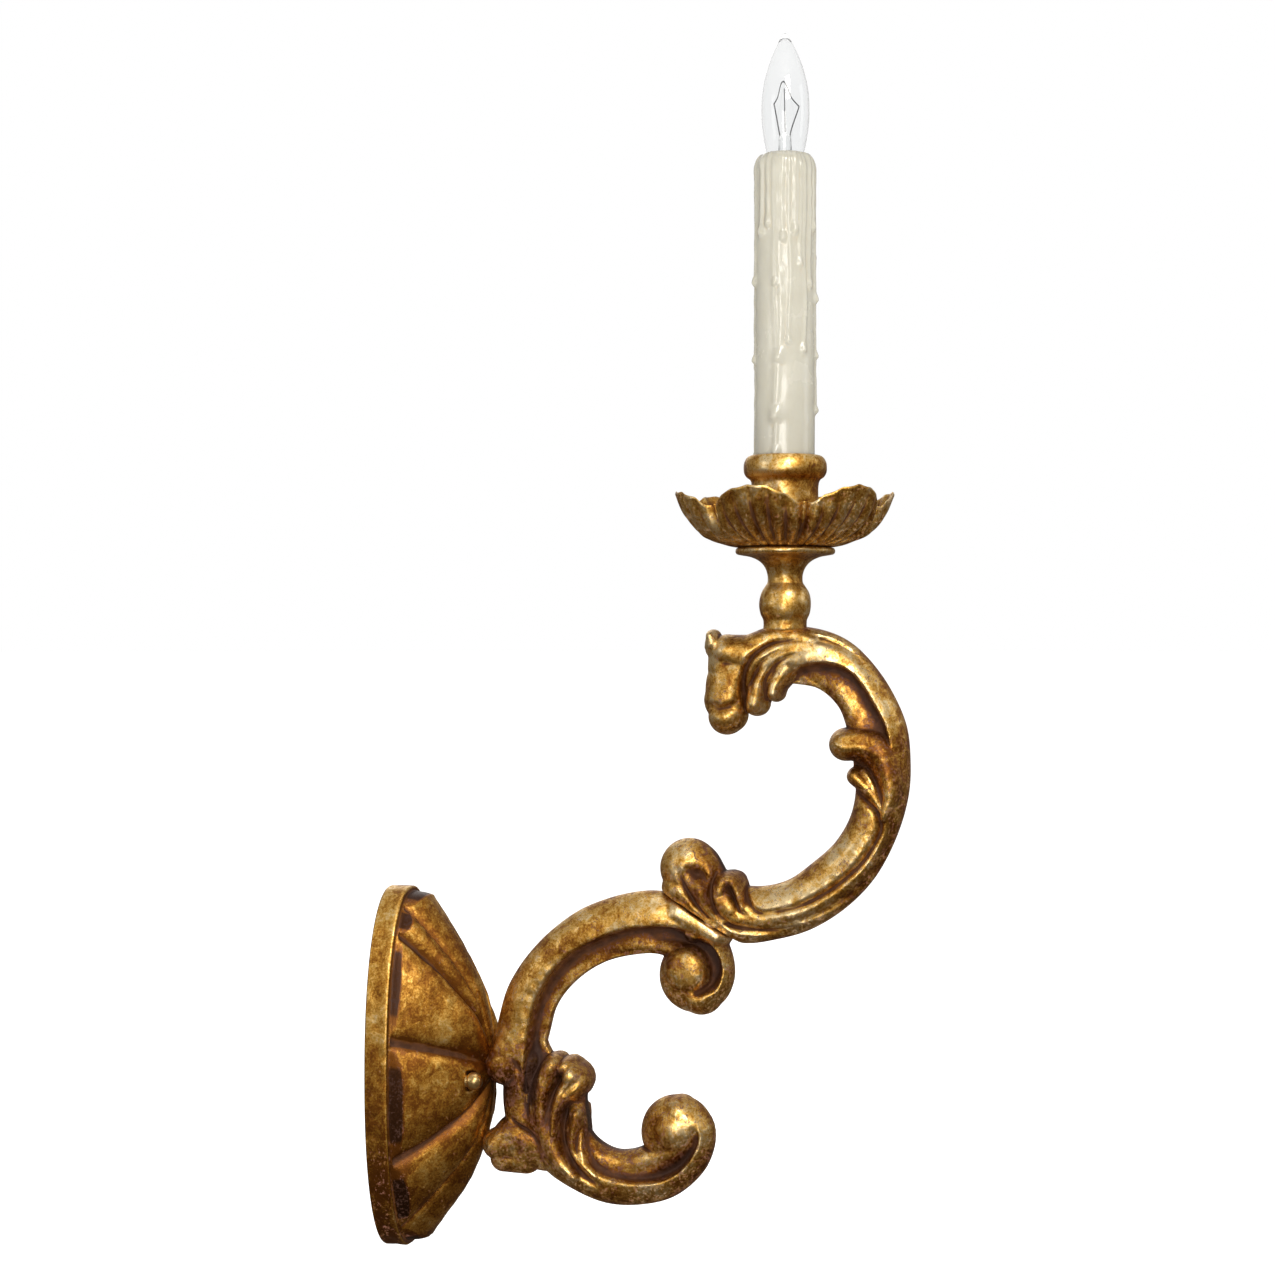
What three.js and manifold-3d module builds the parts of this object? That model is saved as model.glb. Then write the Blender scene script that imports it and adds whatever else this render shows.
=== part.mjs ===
// A carved and gilded wall sconce: an oval gadrooned backplate, an arm of two acanthus scrolls,
// and one electric candle. Millimetres. The wall is the plane Y = 0, the sconce stands out of it
// towards -Y, +Z is up, and the origin lies on the rear face of the crossbar, behind the arm.
// Routes and outlines are written as [out, up]: the distance out of the wall (-Y), and Z.
import * as THREE from 'three';
import { mergeVertices } from 'three/addons/utils/BufferGeometryUtils.js';
import Module from 'manifold-3d';

const wasm = await Module();
wasm.setup();

// ---- driving dimensions ----
const GAP = 0.3; // clearance between touching pieces

const PLATE = { halfWidth: 41, halfHeight: 96, power: 2.25, rim: 12, rise: 47, risePower: 2 };
PLATE.apex = PLATE.rim + PLATE.rise;
PLATE.lobe = 6; // height of each lobe's swelling near the rim
PLATE.wall = 7; // thickness of the carved shell
PLATE.pad = 44; // the hollow's flat floor, behind the arm
PLATE.seat = 0.88; // the flat rear rim reaches inwards to this fraction of the outline
PLATE.valleys = [-60, -26, 9.6, 50, 66, 114, 130, 170.4, 206, 240]; // degrees round the oval

const CROSSBAR = {
  halfLength: 34, height: 20, thick: 2.5, centreZ: -3.3, slotX: 28, slotLength: 7, slotRadius: 2,
};
const GROUND_SCREW = { x: 11, shank: 1.8, head: 3.6 };
const STUD = { x: 20, z: -3.3, radius: 2 };
const STUD_SURFACE = 49; // distance from the wall of the ball nuts' seats
const BALL_NUT = { radius: 4.6, collar: 3.4 };

const CANDLE_OUT = 215; // distance of the candle's axis from the wall
const ARM_DEPTH = 14.5; // half the thickness of the carved arm
const CHANNEL = 3.6; // radius of the wire channel
const LEAD = 0.95; // radius of an insulated lead
const ARM_WIRE_Z = 9; // height of the wire hole in the backplate
const ARM_BOLT_Z = -4;
const LEAF_SCREW_Z = -41;
const ARM_BOLT = { head: 4.6, headThick: 3.6, shank: 2.5, length: 38, washer: 1.2 };
const LEAF_SCREW = { head: 4, headThick: 1.6, shank: 1.8, length: 28 };

const SEAT_Z = 234.8; // top of the arm, under the stem
const STEM_TOP = 275.5;
const CUP_FLOOR = 306;
const CUP_TOP = 323;
const NIPPLE = { outer: 4.85, inner: 3.2, bottom: 225, top: 318 };
const NIPPLE_HOLE = NIPPLE.outer + 0.35;

const PETALS = { count: 6, turn: -68.5, radius: 57, notch: 0.86, thick: 2.2 };

const SLEEVE = { radius: 15.875, bore: 13.1, mouth: 10.3, bottom: CUP_FLOOR + GAP, top: 478.5 };
const SOCKET = { radius: 10.4, bore: 7, bottom: 424.6, floor: 436, top: 462 };
const TERMINAL_Z = 428.3; // height of the socket's two terminal screws
const BASE = { radius: 5.9, bottom: 440.5, top: 461 };
const GLASS = { radius: 12.55, wall: 0.8, bottom: 461.3, widestZ: 503, tip: 541 };
const FILAMENT_TOPS = { reach: 6.2, z: 504, waist: 2.6, waistZ: 488.5 };

// ---- materials ----
const look = (color, roughness, metalness, extra = {}) =>
  new THREE.MeshStandardMaterial({ color, roughness, metalness, ...extra });
const GILT = look(0xa9782f, 0.42, 0.75);
const STEEL = look(0x8c8c88, 0.4, 0.9);
const BRASS = look(0xc9a24e, 0.3, 0.95);
const IVORY = look(0xe1dac4, 0.35, 0);
const BLACK = look(0x1c1b1a, 0.5, 0);
const WHITE = look(0xe8e6df, 0.5, 0);
const CARD = look(0x8e7a5c, 0.9, 0);
const NICKEL = look(0xc2c2bd, 0.25, 1);
const CLEAR = look(0xf4f8f8, 0.05, 0, { transparent: true, opacity: 0.3 });
const GREEN = look(0x3f7a43, 0.4, 0.6);
const WOOD = look(0x9a7650, 0.7, 0);

// ---- solids ----
function solidOf(geometry) {
  const bare = geometry.clone();
  bare.deleteAttribute('normal');
  bare.deleteAttribute('uv');
  const merged = mergeVertices(bare, 1e-3);
  const vertProperties = new Float32Array(merged.attributes.position.array);
  const triVerts = new Uint32Array(merged.index.array);
  return new wasm.Manifold(new wasm.Mesh({ numProp: 3, vertProperties, triVerts }));
}

function geometryOf(solid) {
  const mesh = solid.getMesh();
  const geometry = new THREE.BufferGeometry();
  geometry.setAttribute('position', new THREE.BufferAttribute(mesh.vertProperties, 3));
  geometry.setIndex(new THREE.BufferAttribute(mesh.triVerts, 1));
  return geometry;
}

const joined = (solids) => solids.reduce((sum, solid) => sum.add(solid));
const without = (solid, cutters) => cutters.reduce((rest, cutter) => rest.subtract(cutter), solid);

// A point given by its place across the wall, its distance out of it and its height.
const at = (x, out, up) => new THREE.Vector3(x, -out, up);

// A turned solid about +Z: profile is [radius, z], anticlockwise, ends on the axis or closes.
function turned(profile, sides = 32) {
  const points = profile.map(([radius, z]) => new THREE.Vector2(radius, z));
  const geometry = new THREE.LatheGeometry(points, sides);
  return solidOf(geometry.rotateX(Math.PI / 2));
}

// The same, moved so that its axis passes through (x, out) and its z = 0 is at height up.
function turnedAt(profile, x, out, up, sides = 32) {
  return turned(profile, sides).translate([x, -out, up]);
}

// A turned solid whose axis points straight out of the wall, from the point (x, out, up).
function turnedOut(profile, x, out, up, sides = 16) {
  const points = profile.map(([radius, along]) => new THREE.Vector2(radius, along));
  const geometry = new THREE.LatheGeometry(points, sides).rotateX(Math.PI);
  return solidOf(geometry).translate([x, -out, up]);
}

const rod = (radius, low, high) => [[0, low], [radius, low], [radius, high], [0, high]];
const tube = (inner, outer, low, high) => [
  [inner, low], [outer, low], [outer, high], [inner, high], [inner, low],
];

// A box from its centre and its full sizes.
function block(width, depth, height, x, out, up) {
  const geometry = new THREE.BoxGeometry(width, depth, height).translate(x, -out, up);
  return solidOf(geometry);
}

// A closed skin over rings of points that all have the same count, with a tip at each end.
// The rings run anticlockwise about the direction from the first tip to the last.
function skin(firstTip, rings, lastTip) {
  const sides = rings[0].length;
  const points = [firstTip, ...rings.flat(), lastTip];
  const last = points.length - 1;
  const faces = [];
  for (let side = 0; side < sides; side += 1) {
    const next = (side + 1) % sides;
    faces.push(0, 1 + next, 1 + side);
    for (let ring = 1; ring < rings.length; ring += 1) {
      const below = 1 + (ring - 1) * sides;
      const above = 1 + ring * sides;
      faces.push(below + side, below + next, above + side);
      faces.push(below + next, above + next, above + side);
    }
    const top = 1 + (rings.length - 1) * sides;
    faces.push(last, top + side, top + next);
  }
  const geometry = new THREE.BufferGeometry().setFromPoints(points);
  geometry.setIndex(faces);
  return solidOf(geometry);
}

// A straight round rod between two points.
function rodBetween(start, end, radius, sides = 8) {
  return swept([start, end], () => radius, radius, sides, 1);
}

// A round-ended stroke through points: halfWidth(t) in the plane of the arm, depth across it.
function swept(points, halfWidth, depth, sides, steps, blunt = 0) {
  const curve = new THREE.CatmullRomCurve3(points, false, 'centripetal');
  const across = new THREE.Vector3(1, 0, 0);
  const ring = (t, scale, shift) => {
    const tangent = curve.getTangent(t);
    const side = Math.abs(tangent.x) > 0.9 ? new THREE.Vector3(0, 0, 1) : across;
    const normal = new THREE.Vector3().crossVectors(tangent, side).normalize();
    const flat = new THREE.Vector3().crossVectors(normal, tangent).normalize();
    const centre = curve.getPoint(t).addScaledVector(tangent, shift);
    const wide = halfWidth(t) * scale;
    const deep = Math.min(depth, halfWidth(t) * 1.25) * scale;
    return Array.from({ length: sides }, (_, k) => {
      const angle = (2 * Math.PI * (k + 0.5)) / sides;
      const point = centre.clone().addScaledVector(flat, Math.cos(angle) * deep);
      return point.addScaledVector(normal, Math.sin(angle) * wide);
    });
  };
  const rings = Array.from({ length: steps + 1 }, (_, k) => ring(k / steps, 1, 0));
  const tip = (t, way) => {
    const reach = way * halfWidth(t) * blunt;
    return curve.getPoint(t).addScaledVector(curve.getTangent(t), reach);
  };
  if (blunt > 0) {
    rings.unshift(ring(0, 0.72, -0.68 * blunt * halfWidth(0)));
    rings.push(ring(1, 0.72, 0.68 * blunt * halfWidth(1)));
  }
  return skin(tip(0, -1), rings, tip(1, 1));
}

// A carved stroke of the arm: route is [out, up, half width]; grow swells it for a clearance.
function stroke(route, depth = ARM_DEPTH, grow = 0) {
  const points = route.map(([out, up]) => at(0, out, up));
  const widths = new THREE.SplineCurve(route.map(([, , wide], k) => new THREE.Vector2(k, wide)));
  const halfWidth = (t) => widths.getPoint(t).y + grow;
  return swept(points, halfWidth, depth + grow, 12, (route.length - 1) * 2, 1);
}

// A carved ball or bead of the arm.
function bead([out, up, radius], depth = ARM_DEPTH, grow = 0) {
  const geometry = new THREE.SphereGeometry(1, 14, 8);
  geometry.scale(depth + grow, radius + grow, radius + grow);
  geometry.translate(0, -out, up);
  return solidOf(geometry);
}

// ---- backplate ----
const RADIANS = Math.PI / 180;
const bend = (value) => Math.sign(value) * Math.abs(value) ** (2 / PLATE.power);

// The plate's outline at a fraction of its full size.
function plateOutline(degrees, fraction, out) {
  const x = PLATE.halfWidth * fraction * bend(Math.cos(degrees * RADIANS));
  const z = PLATE.halfHeight * fraction * bend(Math.sin(degrees * RADIANS));
  return at(x, out, z);
}

// How high a lobe stands at this angle: 0 in a valley, 1 along its middle.
function lobeHeight(degrees) {
  const stops = [...PLATE.valleys, PLATE.valleys[0] + 360];
  const angle = degrees < stops[0] ? degrees + 360 : degrees;
  const lobe = stops.findIndex((stop, k) => angle >= stop && angle <= stops[k + 1]);
  const part = (angle - stops[lobe]) / (stops[lobe + 1] - stops[lobe]);
  return (1 - (2 * part - 1) ** 2) ** 0.7;
}

const domeOut = (fraction) => PLATE.rim + PLATE.rise * (1 - fraction ** PLATE.risePower);
const hollowOut = (fraction) => Math.min(PLATE.pad, domeOut(fraction) - PLATE.wall);
const frontOut = (fraction, degrees) =>
  domeOut(fraction) + PLATE.lobe * lobeHeight(degrees) * fraction ** 2.2 * (1 - fraction ** 14);

// The angles of the plate's columns, falling, with one on every valley.
const PLATE_ANGLES = PLATE.valleys.flatMap((start, k) => {
  const end = PLATE.valleys[k + 1] ?? PLATE.valleys[0] + 360;
  const steps = Math.round((end - start) / 8);
  return Array.from({ length: steps }, (_, step) => start + ((end - start) * step) / steps);
}).reverse();

// A ring of points right round the plate.
const plateRing = (fraction, outOf) =>
  PLATE_ANGLES.map((degrees) => plateOutline(degrees, fraction, outOf(degrees)));

// The plate's front, from the apex to its rear face, raised by a clearance.
function plateFront(grow, fractions) {
  return fractions.map((fraction) =>
    plateRing(fraction, (degrees) => frontOut(fraction, degrees) + grow));
}

const FRONT_FRACTIONS = [0.15, 0.3, 0.45, 0.6, 0.74, 0.86, 0.95, 0.985];

function plateSolid() {
  const front = plateFront(0, FRONT_FRACTIONS);
  const rim = [plateRing(1, () => PLATE.rim), plateRing(1, () => 0)];
  const hollow = [PLATE.seat, PLATE.seat - 0.02, 0.72, 0.55, 0.42, 0.32];
  const inner = hollow.map((fraction, k) =>
    plateRing(fraction, () => (k === 0 ? 0 : hollowOut(fraction))));
  const rings = [...front, ...rim, ...inner];
  return skin(at(0, PLATE.apex, 0), rings, at(0, PLATE.pad, 0));
}

// Everything behind the plate's front, with the usual clearance: it trims what leans on it.
function plateTrim() {
  const front = plateFront(GAP, FRONT_FRACTIONS);
  const rings = [...front, plateRing(1, () => PLATE.rim), plateRing(1, () => 0)];
  return skin(at(0, PLATE.apex + GAP, 0), rings, at(0, 0, 0));
}

function backplate() {
  const holes = [
    turnedOut(rod(STUD.radius + 0.4, 0, 80), STUD.x, 0, STUD.z),
    turnedOut(rod(STUD.radius + 0.4, 0, 80), -STUD.x, 0, STUD.z),
    turnedOut(rod(BALL_NUT.radius + 0.4, STUD_SURFACE - GAP, 80), STUD.x, 0, STUD.z, 20),
    turnedOut(rod(BALL_NUT.radius + 0.4, STUD_SURFACE - GAP, 80), -STUD.x, 0, STUD.z, 20),
    turnedOut(rod(CHANNEL, 20, 80), 0, 0, ARM_WIRE_Z),
    turnedOut(rod(ARM_BOLT.shank + 0.4, 20, 80), 0, 0, ARM_BOLT_Z),
    turnedOut(rod(LEAF_SCREW.shank + 0.4, 20, 80), 0, 0, LEAF_SCREW_Z),
  ];
  return without(plateSolid(), holes);
}

// ---- carved arm ----
const LOWER_STROKES = [
  [[[66, 4, 12.5], [73, 17, 14], [79.8, 39.6, 14], [93.2, 58, 13.8], [113.3, 73.5, 14.3],
    [136, 80.6, 15.2], [150, 81, 15.5], [163.5, 75, 14.5], [173, 65, 13], [176, 54, 12],
    [170, 45, 11.5]], ARM_DEPTH],
  [[[78, 12, 14], [84, -8, 18], [90, -24, 18], [97, -38, 17], [108, -47.5, 14.8],
    [122, -53.2, 14.4], [136, -53.2, 14.6], [150.3, -48.5, 15.2], [162.8, -38.3, 13.6],
    [167, -27, 11], [160, -18, 9]], ARM_DEPTH],
  [[[84, 2, 10], [97, 0, 10], [104.5, -6, 8.6]], 15.5],
  [[[74, 2, 10.5], [76.5, -18, 12], [78, -34, 13]], 13],
  [[[61.5, -39, 9.5], [71, -36.5, 15], [86, -36, 18]], 12],
  [[[64, -47, 7.5], [76, -46, 9]], 9],
];
const LOWER_BEADS = [[[165, 54, 16.3], 15.5], [[155, -27.3, 16.3], 16]];

const UPPER_STROKES = [
  [[[185, 222, 9], [199, 219, 12.5], [216.5, 220.4, 14.8], [238.6, 216, 14.4],
    [254.2, 201.6, 13.8], [263, 181.3, 15], [265.2, 165, 14.6], [265.2, 149.5, 13.5],
    [261, 133, 12.9], [252, 116.3, 13.3], [239.6, 102.5, 13.5], [224.5, 91.8, 13],
    [209, 86.8, 13.4], [192, 86, 14.8], [178, 90, 12]], ARM_DEPTH],
  [[[196, 218, 12], [185.8, 207.5, 14], [183.2, 196, 11.6], [184, 188, 10.2]], 13],
  [[[184, 222, 8], [178, 226, 6.2], [177.5, 230, 4]], 8],
  [[[208, 214, 10], [202.5, 203, 9], [200.5, 195.5, 7.8]], 11],
  [[[216, 212, 9], [211.5, 204, 7.4]], 12],
  [[[262, 166, 14], [252, 170, 9.5], [245.3, 174, 9.2]], 15.5],
  [[[262, 156, 11], [254, 159, 6]], 15],
  [[[186, 92, 12], [176, 98, 13], [167, 107, 16], [164, 109.5, 15.8]], 15.5],
  [[[176, 92, 10], [160, 99, 10.5]], 14],
  [[[190, 88, 12], [183, 96, 8.5]], 15],
];

const grown = (strokes, grow) => strokes.map(([route, depth]) => stroke(route, depth, grow));
const grownBeads = (beads, grow) => beads.map(([place, depth]) => bead(place, depth, grow));

function lowerBody(grow) {
  return joined([...grown(LOWER_STROKES, grow), ...grownBeads(LOWER_BEADS, grow)]);
}

// The wire channel: from the plate's hollow, round both scrolls and up into the stem.
const WIRE_ROUTE = [
  [40, ARM_WIRE_Z], [60, ARM_WIRE_Z], [69, 12], [75, 20], [80.6, 38], [93.6, 57.3], [113.6, 73],
  [136, 80], [152, 81.5], [172, 81], [192, 84.5], [209, 86.8], [224.5, 91.8], [239.6, 102.5],
  [252, 116.3], [261, 133], [265.2, 149.5], [265.4, 165], [263, 181.3], [254, 200],
  [239, 212.5], [226, 215.5], [217.7, 218], [CANDLE_OUT + 0.3, 222], [CANDLE_OUT, 229],
];

function wireChannel() {
  const points = WIRE_ROUTE.map(([out, up]) => at(0, out, up));
  return swept(points, () => CHANNEL, CHANNEL, 8, 46);
}

const DOWEL = { x: 9, radius: 2.4, from: [168, 76], to: [189, 88] };
const dowelRod = (x, radius, extra) => {
  const start = at(x, ...DOWEL.from);
  const end = at(x, ...DOWEL.to);
  const along = new THREE.Vector3().subVectors(end, start).normalize();
  start.addScaledVector(along, -extra);
  end.addScaledVector(along, extra);
  return rodBetween(start, end, radius);
};

const dowelHoles = () => [-1, 1].map((way) => dowelRod(way * DOWEL.x, DOWEL.radius + 0.35, 0.4));

function lowerScroll() {
  const cutters = [
    plateTrim(),
    wireChannel(),
    turnedOut(rod(ARM_BOLT.shank + 0.4, 40, 84), 0, 0, ARM_BOLT_Z, 12),
    turnedOut(rod(LEAF_SCREW.shank + 0.4, 40, 74), 0, 0, LEAF_SCREW_Z, 12),
    ...dowelHoles(),
  ];
  return without(lowerBody(0), cutters);
}

function upperScroll() {
  const body = joined(grown(UPPER_STROKES, 0));
  const cutters = [
    lowerBody(GAP + 0.1),
    wireChannel(),
    turnedAt(rod(13.5, SEAT_Z, SEAT_Z + 20), 0, CANDLE_OUT, 0),
    turnedAt(rod(NIPPLE_HOLE, NIPPLE.bottom - 0.5, SEAT_Z + 5), 0, CANDLE_OUT, 0, 16),
    ...dowelHoles(),
  ];
  return without(body, cutters);
}

// ---- stem, bobeche and cup ----
const onCandle = (profile, sides) => turnedAt(profile, 0, CANDLE_OUT, 0, sides);

function stem() {
  const low = SEAT_Z + GAP;
  return onCandle([
    [NIPPLE_HOLE, low], [11, low], [11.4, low + 1], [10.4, 237.3], [12.4, 240.5], [13.35, 245],
    [13.2, 249.5], [11.6, 254], [9.2, 257.5], [9.1, 261], [10.4, 265], [13.5, 269],
    [18.5, 270.7], [25, 272.2], [25.8, 273], [25.8, 274.7], [25, STEM_TOP],
    [NIPPLE_HOLE, STEM_TOP],
    [NIPPLE_HOLE, low],
  ], 24);
}

// The petal's reach at an angle, 1 along its middle and PETALS.notch between two petals.
function petalShape(angle) {
  const wave = Math.abs(Math.cos((PETALS.count / 2) * (angle - PETALS.turn * RADIANS)));
  return wave ** 0.6;
}

function bobeche() {
  const columns = 48;
  const bottom = STEM_TOP + GAP;
  const bowl = [[9, 0, 0], [27, 0.2, 0], [33, 1.8, 0.1], [40, 4.8, 0.3], [47.5, 10, 0.6],
    [53.5, 17, 0.9], [57, 26, 1]];
  const ring = (radius, height, petal) => Array.from({ length: columns }, (_, k) => {
    const angle = (2 * Math.PI * k) / columns + PETALS.turn * RADIANS;
    const shape = petalShape(angle);
    const reach = 1 - (1 - PETALS.notch) * (1 - shape) * petal;
    const sunk = (1 - shape) * petal * 6;
    const x = radius * reach * Math.cos(angle);
    const y = radius * reach * Math.sin(angle);
    return new THREE.Vector3(x, y - CANDLE_OUT, bottom + height - sunk);
  });
  const under = bowl.map(([radius, height, petal]) => ring(radius, height, petal));
  const over = [...bowl].reverse().map(([radius, height, petal]) =>
    ring(radius - 0.9, height + PETALS.thick, petal));
  const low = at(0, CANDLE_OUT, bottom);
  const high = at(0, CANDLE_OUT, bottom + PETALS.thick);
  const hole = onCandle(rod(NIPPLE_HOLE, bottom - 5, bottom + 10), 16);
  return skin(low, [...under, ...over], high).subtract(hole);
}

function candleCup() {
  const low = STEM_TOP + GAP + PETALS.thick + GAP;
  return onCandle([
    [NIPPLE_HOLE, low], [20, low], [20.5, low + 1.5], [18, low + 4], [17.4, 290], [17.2, 308],
    [18.5, 311], [20.6, 312.8], [21.4, 316.8], [20.6, 320.8], [18.6, CUP_TOP], [16.4, CUP_TOP],
    [16.4, CUP_FLOOR], [NIPPLE_HOLE, CUP_FLOOR], [NIPPLE_HOLE, low],
  ], 28);
}

// ---- candle sleeve, socket and bulb ----
function candleSleeve() {
  const { radius, bore, mouth, bottom, top } = SLEEVE;
  return onCandle([
    [bore, bottom], [radius, bottom], [radius, top - 8], [radius - 0.8, top - 4],
    [radius - 3, top - 1], [radius - 4.5, top], [mouth, top], [mouth, top - 6],
    [bore, top - 10], [bore, bottom],
  ]);
}

function hexNut(across, low, high) {
  const hexagon = onCandle(rod(across / 2 / Math.cos(Math.PI / 6), low, high), 6);
  return hexagon.subtract(onCandle(rod(NIPPLE_HOLE, low - 1, high + 1), 20));
}

function socketBracket() {
  const foot = onCandle(tube(NIPPLE_HOLE, 9.5, 312.4, 313.8), 20);
  const reach = SOCKET.bottom - GAP;
  const leg = block(7, 1.4, reach - 312.4, 0, CANDLE_OUT - 8.9, (reach + 312.4) / 2);
  const shelf = onCandle(tube(2.6, 9.4, reach - 1.4, reach), 20);
  return joined([foot, leg, shelf]);
}

function socketBody() {
  const { radius, bore, bottom, floor, top } = SOCKET;
  const body = onCandle([
    [0, bottom], [8.6, bottom], [8.6, 432], [radius, 433.5], [radius, top], [bore, top],
    [bore, floor], [0, floor],
  ], 24);
  const holes = [-1, 1].map((way) => {
    const start = at(way * 4, CANDLE_OUT, TERMINAL_Z);
    return rodBetween(start, at(way * 12, CANDLE_OUT, TERMINAL_Z), 1.7);
  });
  return without(body, holes);
}

function terminalScrew(way) {
  const screw = new THREE.LatheGeometry(
    [[0, 4.4], [1.4, 4.4], [1.4, 8.9], [2.4, 8.9], [2.4, 9.8], [1.6, 10.3], [0, 10.3]].map(
      ([radius, along]) => new THREE.Vector2(radius, along)), 12);
  screw.rotateZ((-way * Math.PI) / 2).translate(0, -CANDLE_OUT, TERMINAL_Z);
  return solidOf(screw);
}

function bulbGlass() {
  const { radius, wall, bottom, widestZ, tip } = GLASS;
  const outer = [[6.2, bottom], [6.4, 464.5], [7.6, 470], [9.3, 477.5], [11.1, 486],
    [12.3, 495], [radius, widestZ], [12.1, 510], [10.8, 517.5], [8.6, 525], [5.6, 532.5],
    [3, 537.5], [1.6, 540], [0, tip]];
  const inner = [[0, tip - 3.6], [4.7, 532], [7.8, 524.6], [10, 517.2], [11.3, 509.8],
    [radius - wall, widestZ], [11.5, 495], [10.3, 486], [8.5, 477.5], [6.8, 470],
    [5.5, 464.5], [5.4, bottom]];
  return onCandle([...outer, ...inner, outer[0]], 18);
}

function bulbBase() {
  const { radius, bottom, top } = BASE;
  const shell = [[radius - 0.4, bottom]];
  const threads = 5;
  const pitch = (top - bottom - 2) / threads;
  const crest = [];
  for (let turn = 0; turn < threads; turn += 1) {
    const low = bottom + turn * pitch;
    crest.push([radius - 0.4, low], [radius, low + pitch / 2]);
  }
  shell.push(...crest.slice(1), [radius - 0.4, top - 2], [radius - 0.2, top]);
  shell.push([4.9, top], [4.9, bottom], [radius - 0.4, bottom]);
  return onCandle(shell, 16);
}

function bulbLead(way) {
  const { reach, z, waist, waistZ } = FILAMENT_TOPS;
  const points = [
    at(0, CANDLE_OUT + way * waist, waistZ + 0.3), at(0, CANDLE_OUT + way * reach, z),
  ];
  return swept(points, () => 0.35, 0.35, 6, 1);
}

function bulbFilament() {
  const { reach, z } = FILAMENT_TOPS;
  const points = [
    at(0, CANDLE_OUT - reach, z + 0.75), at(0, CANDLE_OUT - reach * 0.75, z + 3),
    at(0, CANDLE_OUT - 1.6, z + 11.6), at(0, CANDLE_OUT + 1.6, z + 10),
    at(0, CANDLE_OUT + reach * 0.7, z + 3), at(0, CANDLE_OUT + reach, z + 0.75),
  ];
  return swept(points, () => 0.35, 0.35, 6, 12);
}

function bulbSupport() {
  const points = [at(0, CANDLE_OUT, 490.3), at(0, CANDLE_OUT - 0.4, 512.6)];
  return swept(points, () => 0.25, 0.25, 6, 1);
}

// ---- leads ----
// A lead runs beside its twin from a wire nut in the hollow to its terminal in the socket.
function lead(way) {
  const aside = way * 1.5;
  const points = [
    at(way * 14, 20, 42), at(way * 14, 21, 32), at(way * 11, 28, 20), at(way * 5, 37, 11.5),
    ...WIRE_ROUTE.slice(0, -1).map(([out, up]) => at(aside, out, up)),
    at(aside, CANDLE_OUT, 232), at(aside, CANDLE_OUT, 270), at(aside, CANDLE_OUT, 315),
    at(aside, CANDLE_OUT, 328), at(way * 5, CANDLE_OUT, 345), at(way * 6.5, CANDLE_OUT, 375),
    at(way * 9, CANDLE_OUT, 400), at(way * 11.2, CANDLE_OUT, 415),
    at(way * 11.3, CANDLE_OUT, 424.8),
  ];
  return swept(points, () => LEAD, LEAD, 6, 60);
}

function wireNut(way) {
  return turnedAt([
    [2.6, 0], [5.4, 0], [5.2, 5], [4.2, 12], [3.2, 15], [0, 15.6], [0, 11], [2.2, 9], [2.6, 0],
  ], way * 14, 20, 34, 16);
}

// ---- hardware ----
// A round-ended slot along X in the crossbar, from its centre.
function slotPath(centre) {
  const { slotLength, slotRadius } = CROSSBAR;
  const reach = slotLength / 2 - slotRadius;
  const slot = new THREE.Path();
  slot.absarc(centre + reach, 0, slotRadius, -Math.PI / 2, Math.PI / 2);
  slot.absarc(centre - reach, 0, slotRadius, Math.PI / 2, (3 * Math.PI) / 2);
  return slot;
}

function roundHole(x, y, radius) {
  const hole = new THREE.Path();
  hole.absarc(x, y, radius, 0, 2 * Math.PI);
  return hole;
}

function crossbar() {
  const { halfLength, height, thick, centreZ, slotX } = CROSSBAR;
  const outline = new THREE.Shape();
  const end = halfLength - height / 2;
  outline.absarc(end, 0, height / 2, -Math.PI / 2, Math.PI / 2);
  outline.absarc(-end, 0, height / 2, Math.PI / 2, (3 * Math.PI) / 2);
  for (const way of [-1, 1]) {
    outline.holes.push(slotPath(way * slotX));
    outline.holes.push(roundHole(way * STUD.x, STUD.z - centreZ, STUD.radius + GAP));
  }
  outline.holes.push(roundHole(GROUND_SCREW.x, 0, GROUND_SCREW.shank + GAP));
  const options = { depth: thick, bevelEnabled: false, curveSegments: 6 };
  const strap = new THREE.ExtrudeGeometry(outline, options);
  return solidOf(strap.rotateX(Math.PI / 2).translate(0, 0, centreZ));
}

const stud = (way) => turnedOut(rod(STUD.radius, 0.2, 54), way * STUD.x, 0, STUD.z, 12);

function ballNut(way) {
  const base = STUD_SURFACE;
  const { radius, collar } = BALL_NUT;
  const bore = STUD.radius + GAP;
  const profile = [[bore, 0], [collar, 0], [collar, 1]];
  for (let k = 2; k <= 7; k += 1) {
    const angle = -Math.PI / 2 + (Math.PI * k) / 8;
    profile.push([radius * Math.cos(angle), radius + radius * Math.sin(angle)]);
  }
  profile.push([0, 2 * radius], [0, 5.6], [bore, 5.6], [bore, 0]);
  return turnedOut(profile, way * STUD.x, base, STUD.z, 14);
}

const screwOut = (head, headThick, shank, length) => [
  [0, 0], [head, 0], [head, headThick], [shank, headThick], [shank, headThick + length],
  [0, headThick + length],
];

function groundScrew() {
  const { x, shank, head } = GROUND_SCREW;
  const under = CROSSBAR.thick + GAP;
  return turnedOut([
    [0, 0.4], [shank, 0.4], [shank, under], [head, under], [head, under + 1.4],
    [head - 1, under + 2.2], [0, under + 2.2],
  ], x, 0, CROSSBAR.centreZ, 14);
}

const BOLT_HEAD_FACE = PLATE.pad - ARM_BOLT.washer - 2 * GAP;

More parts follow.
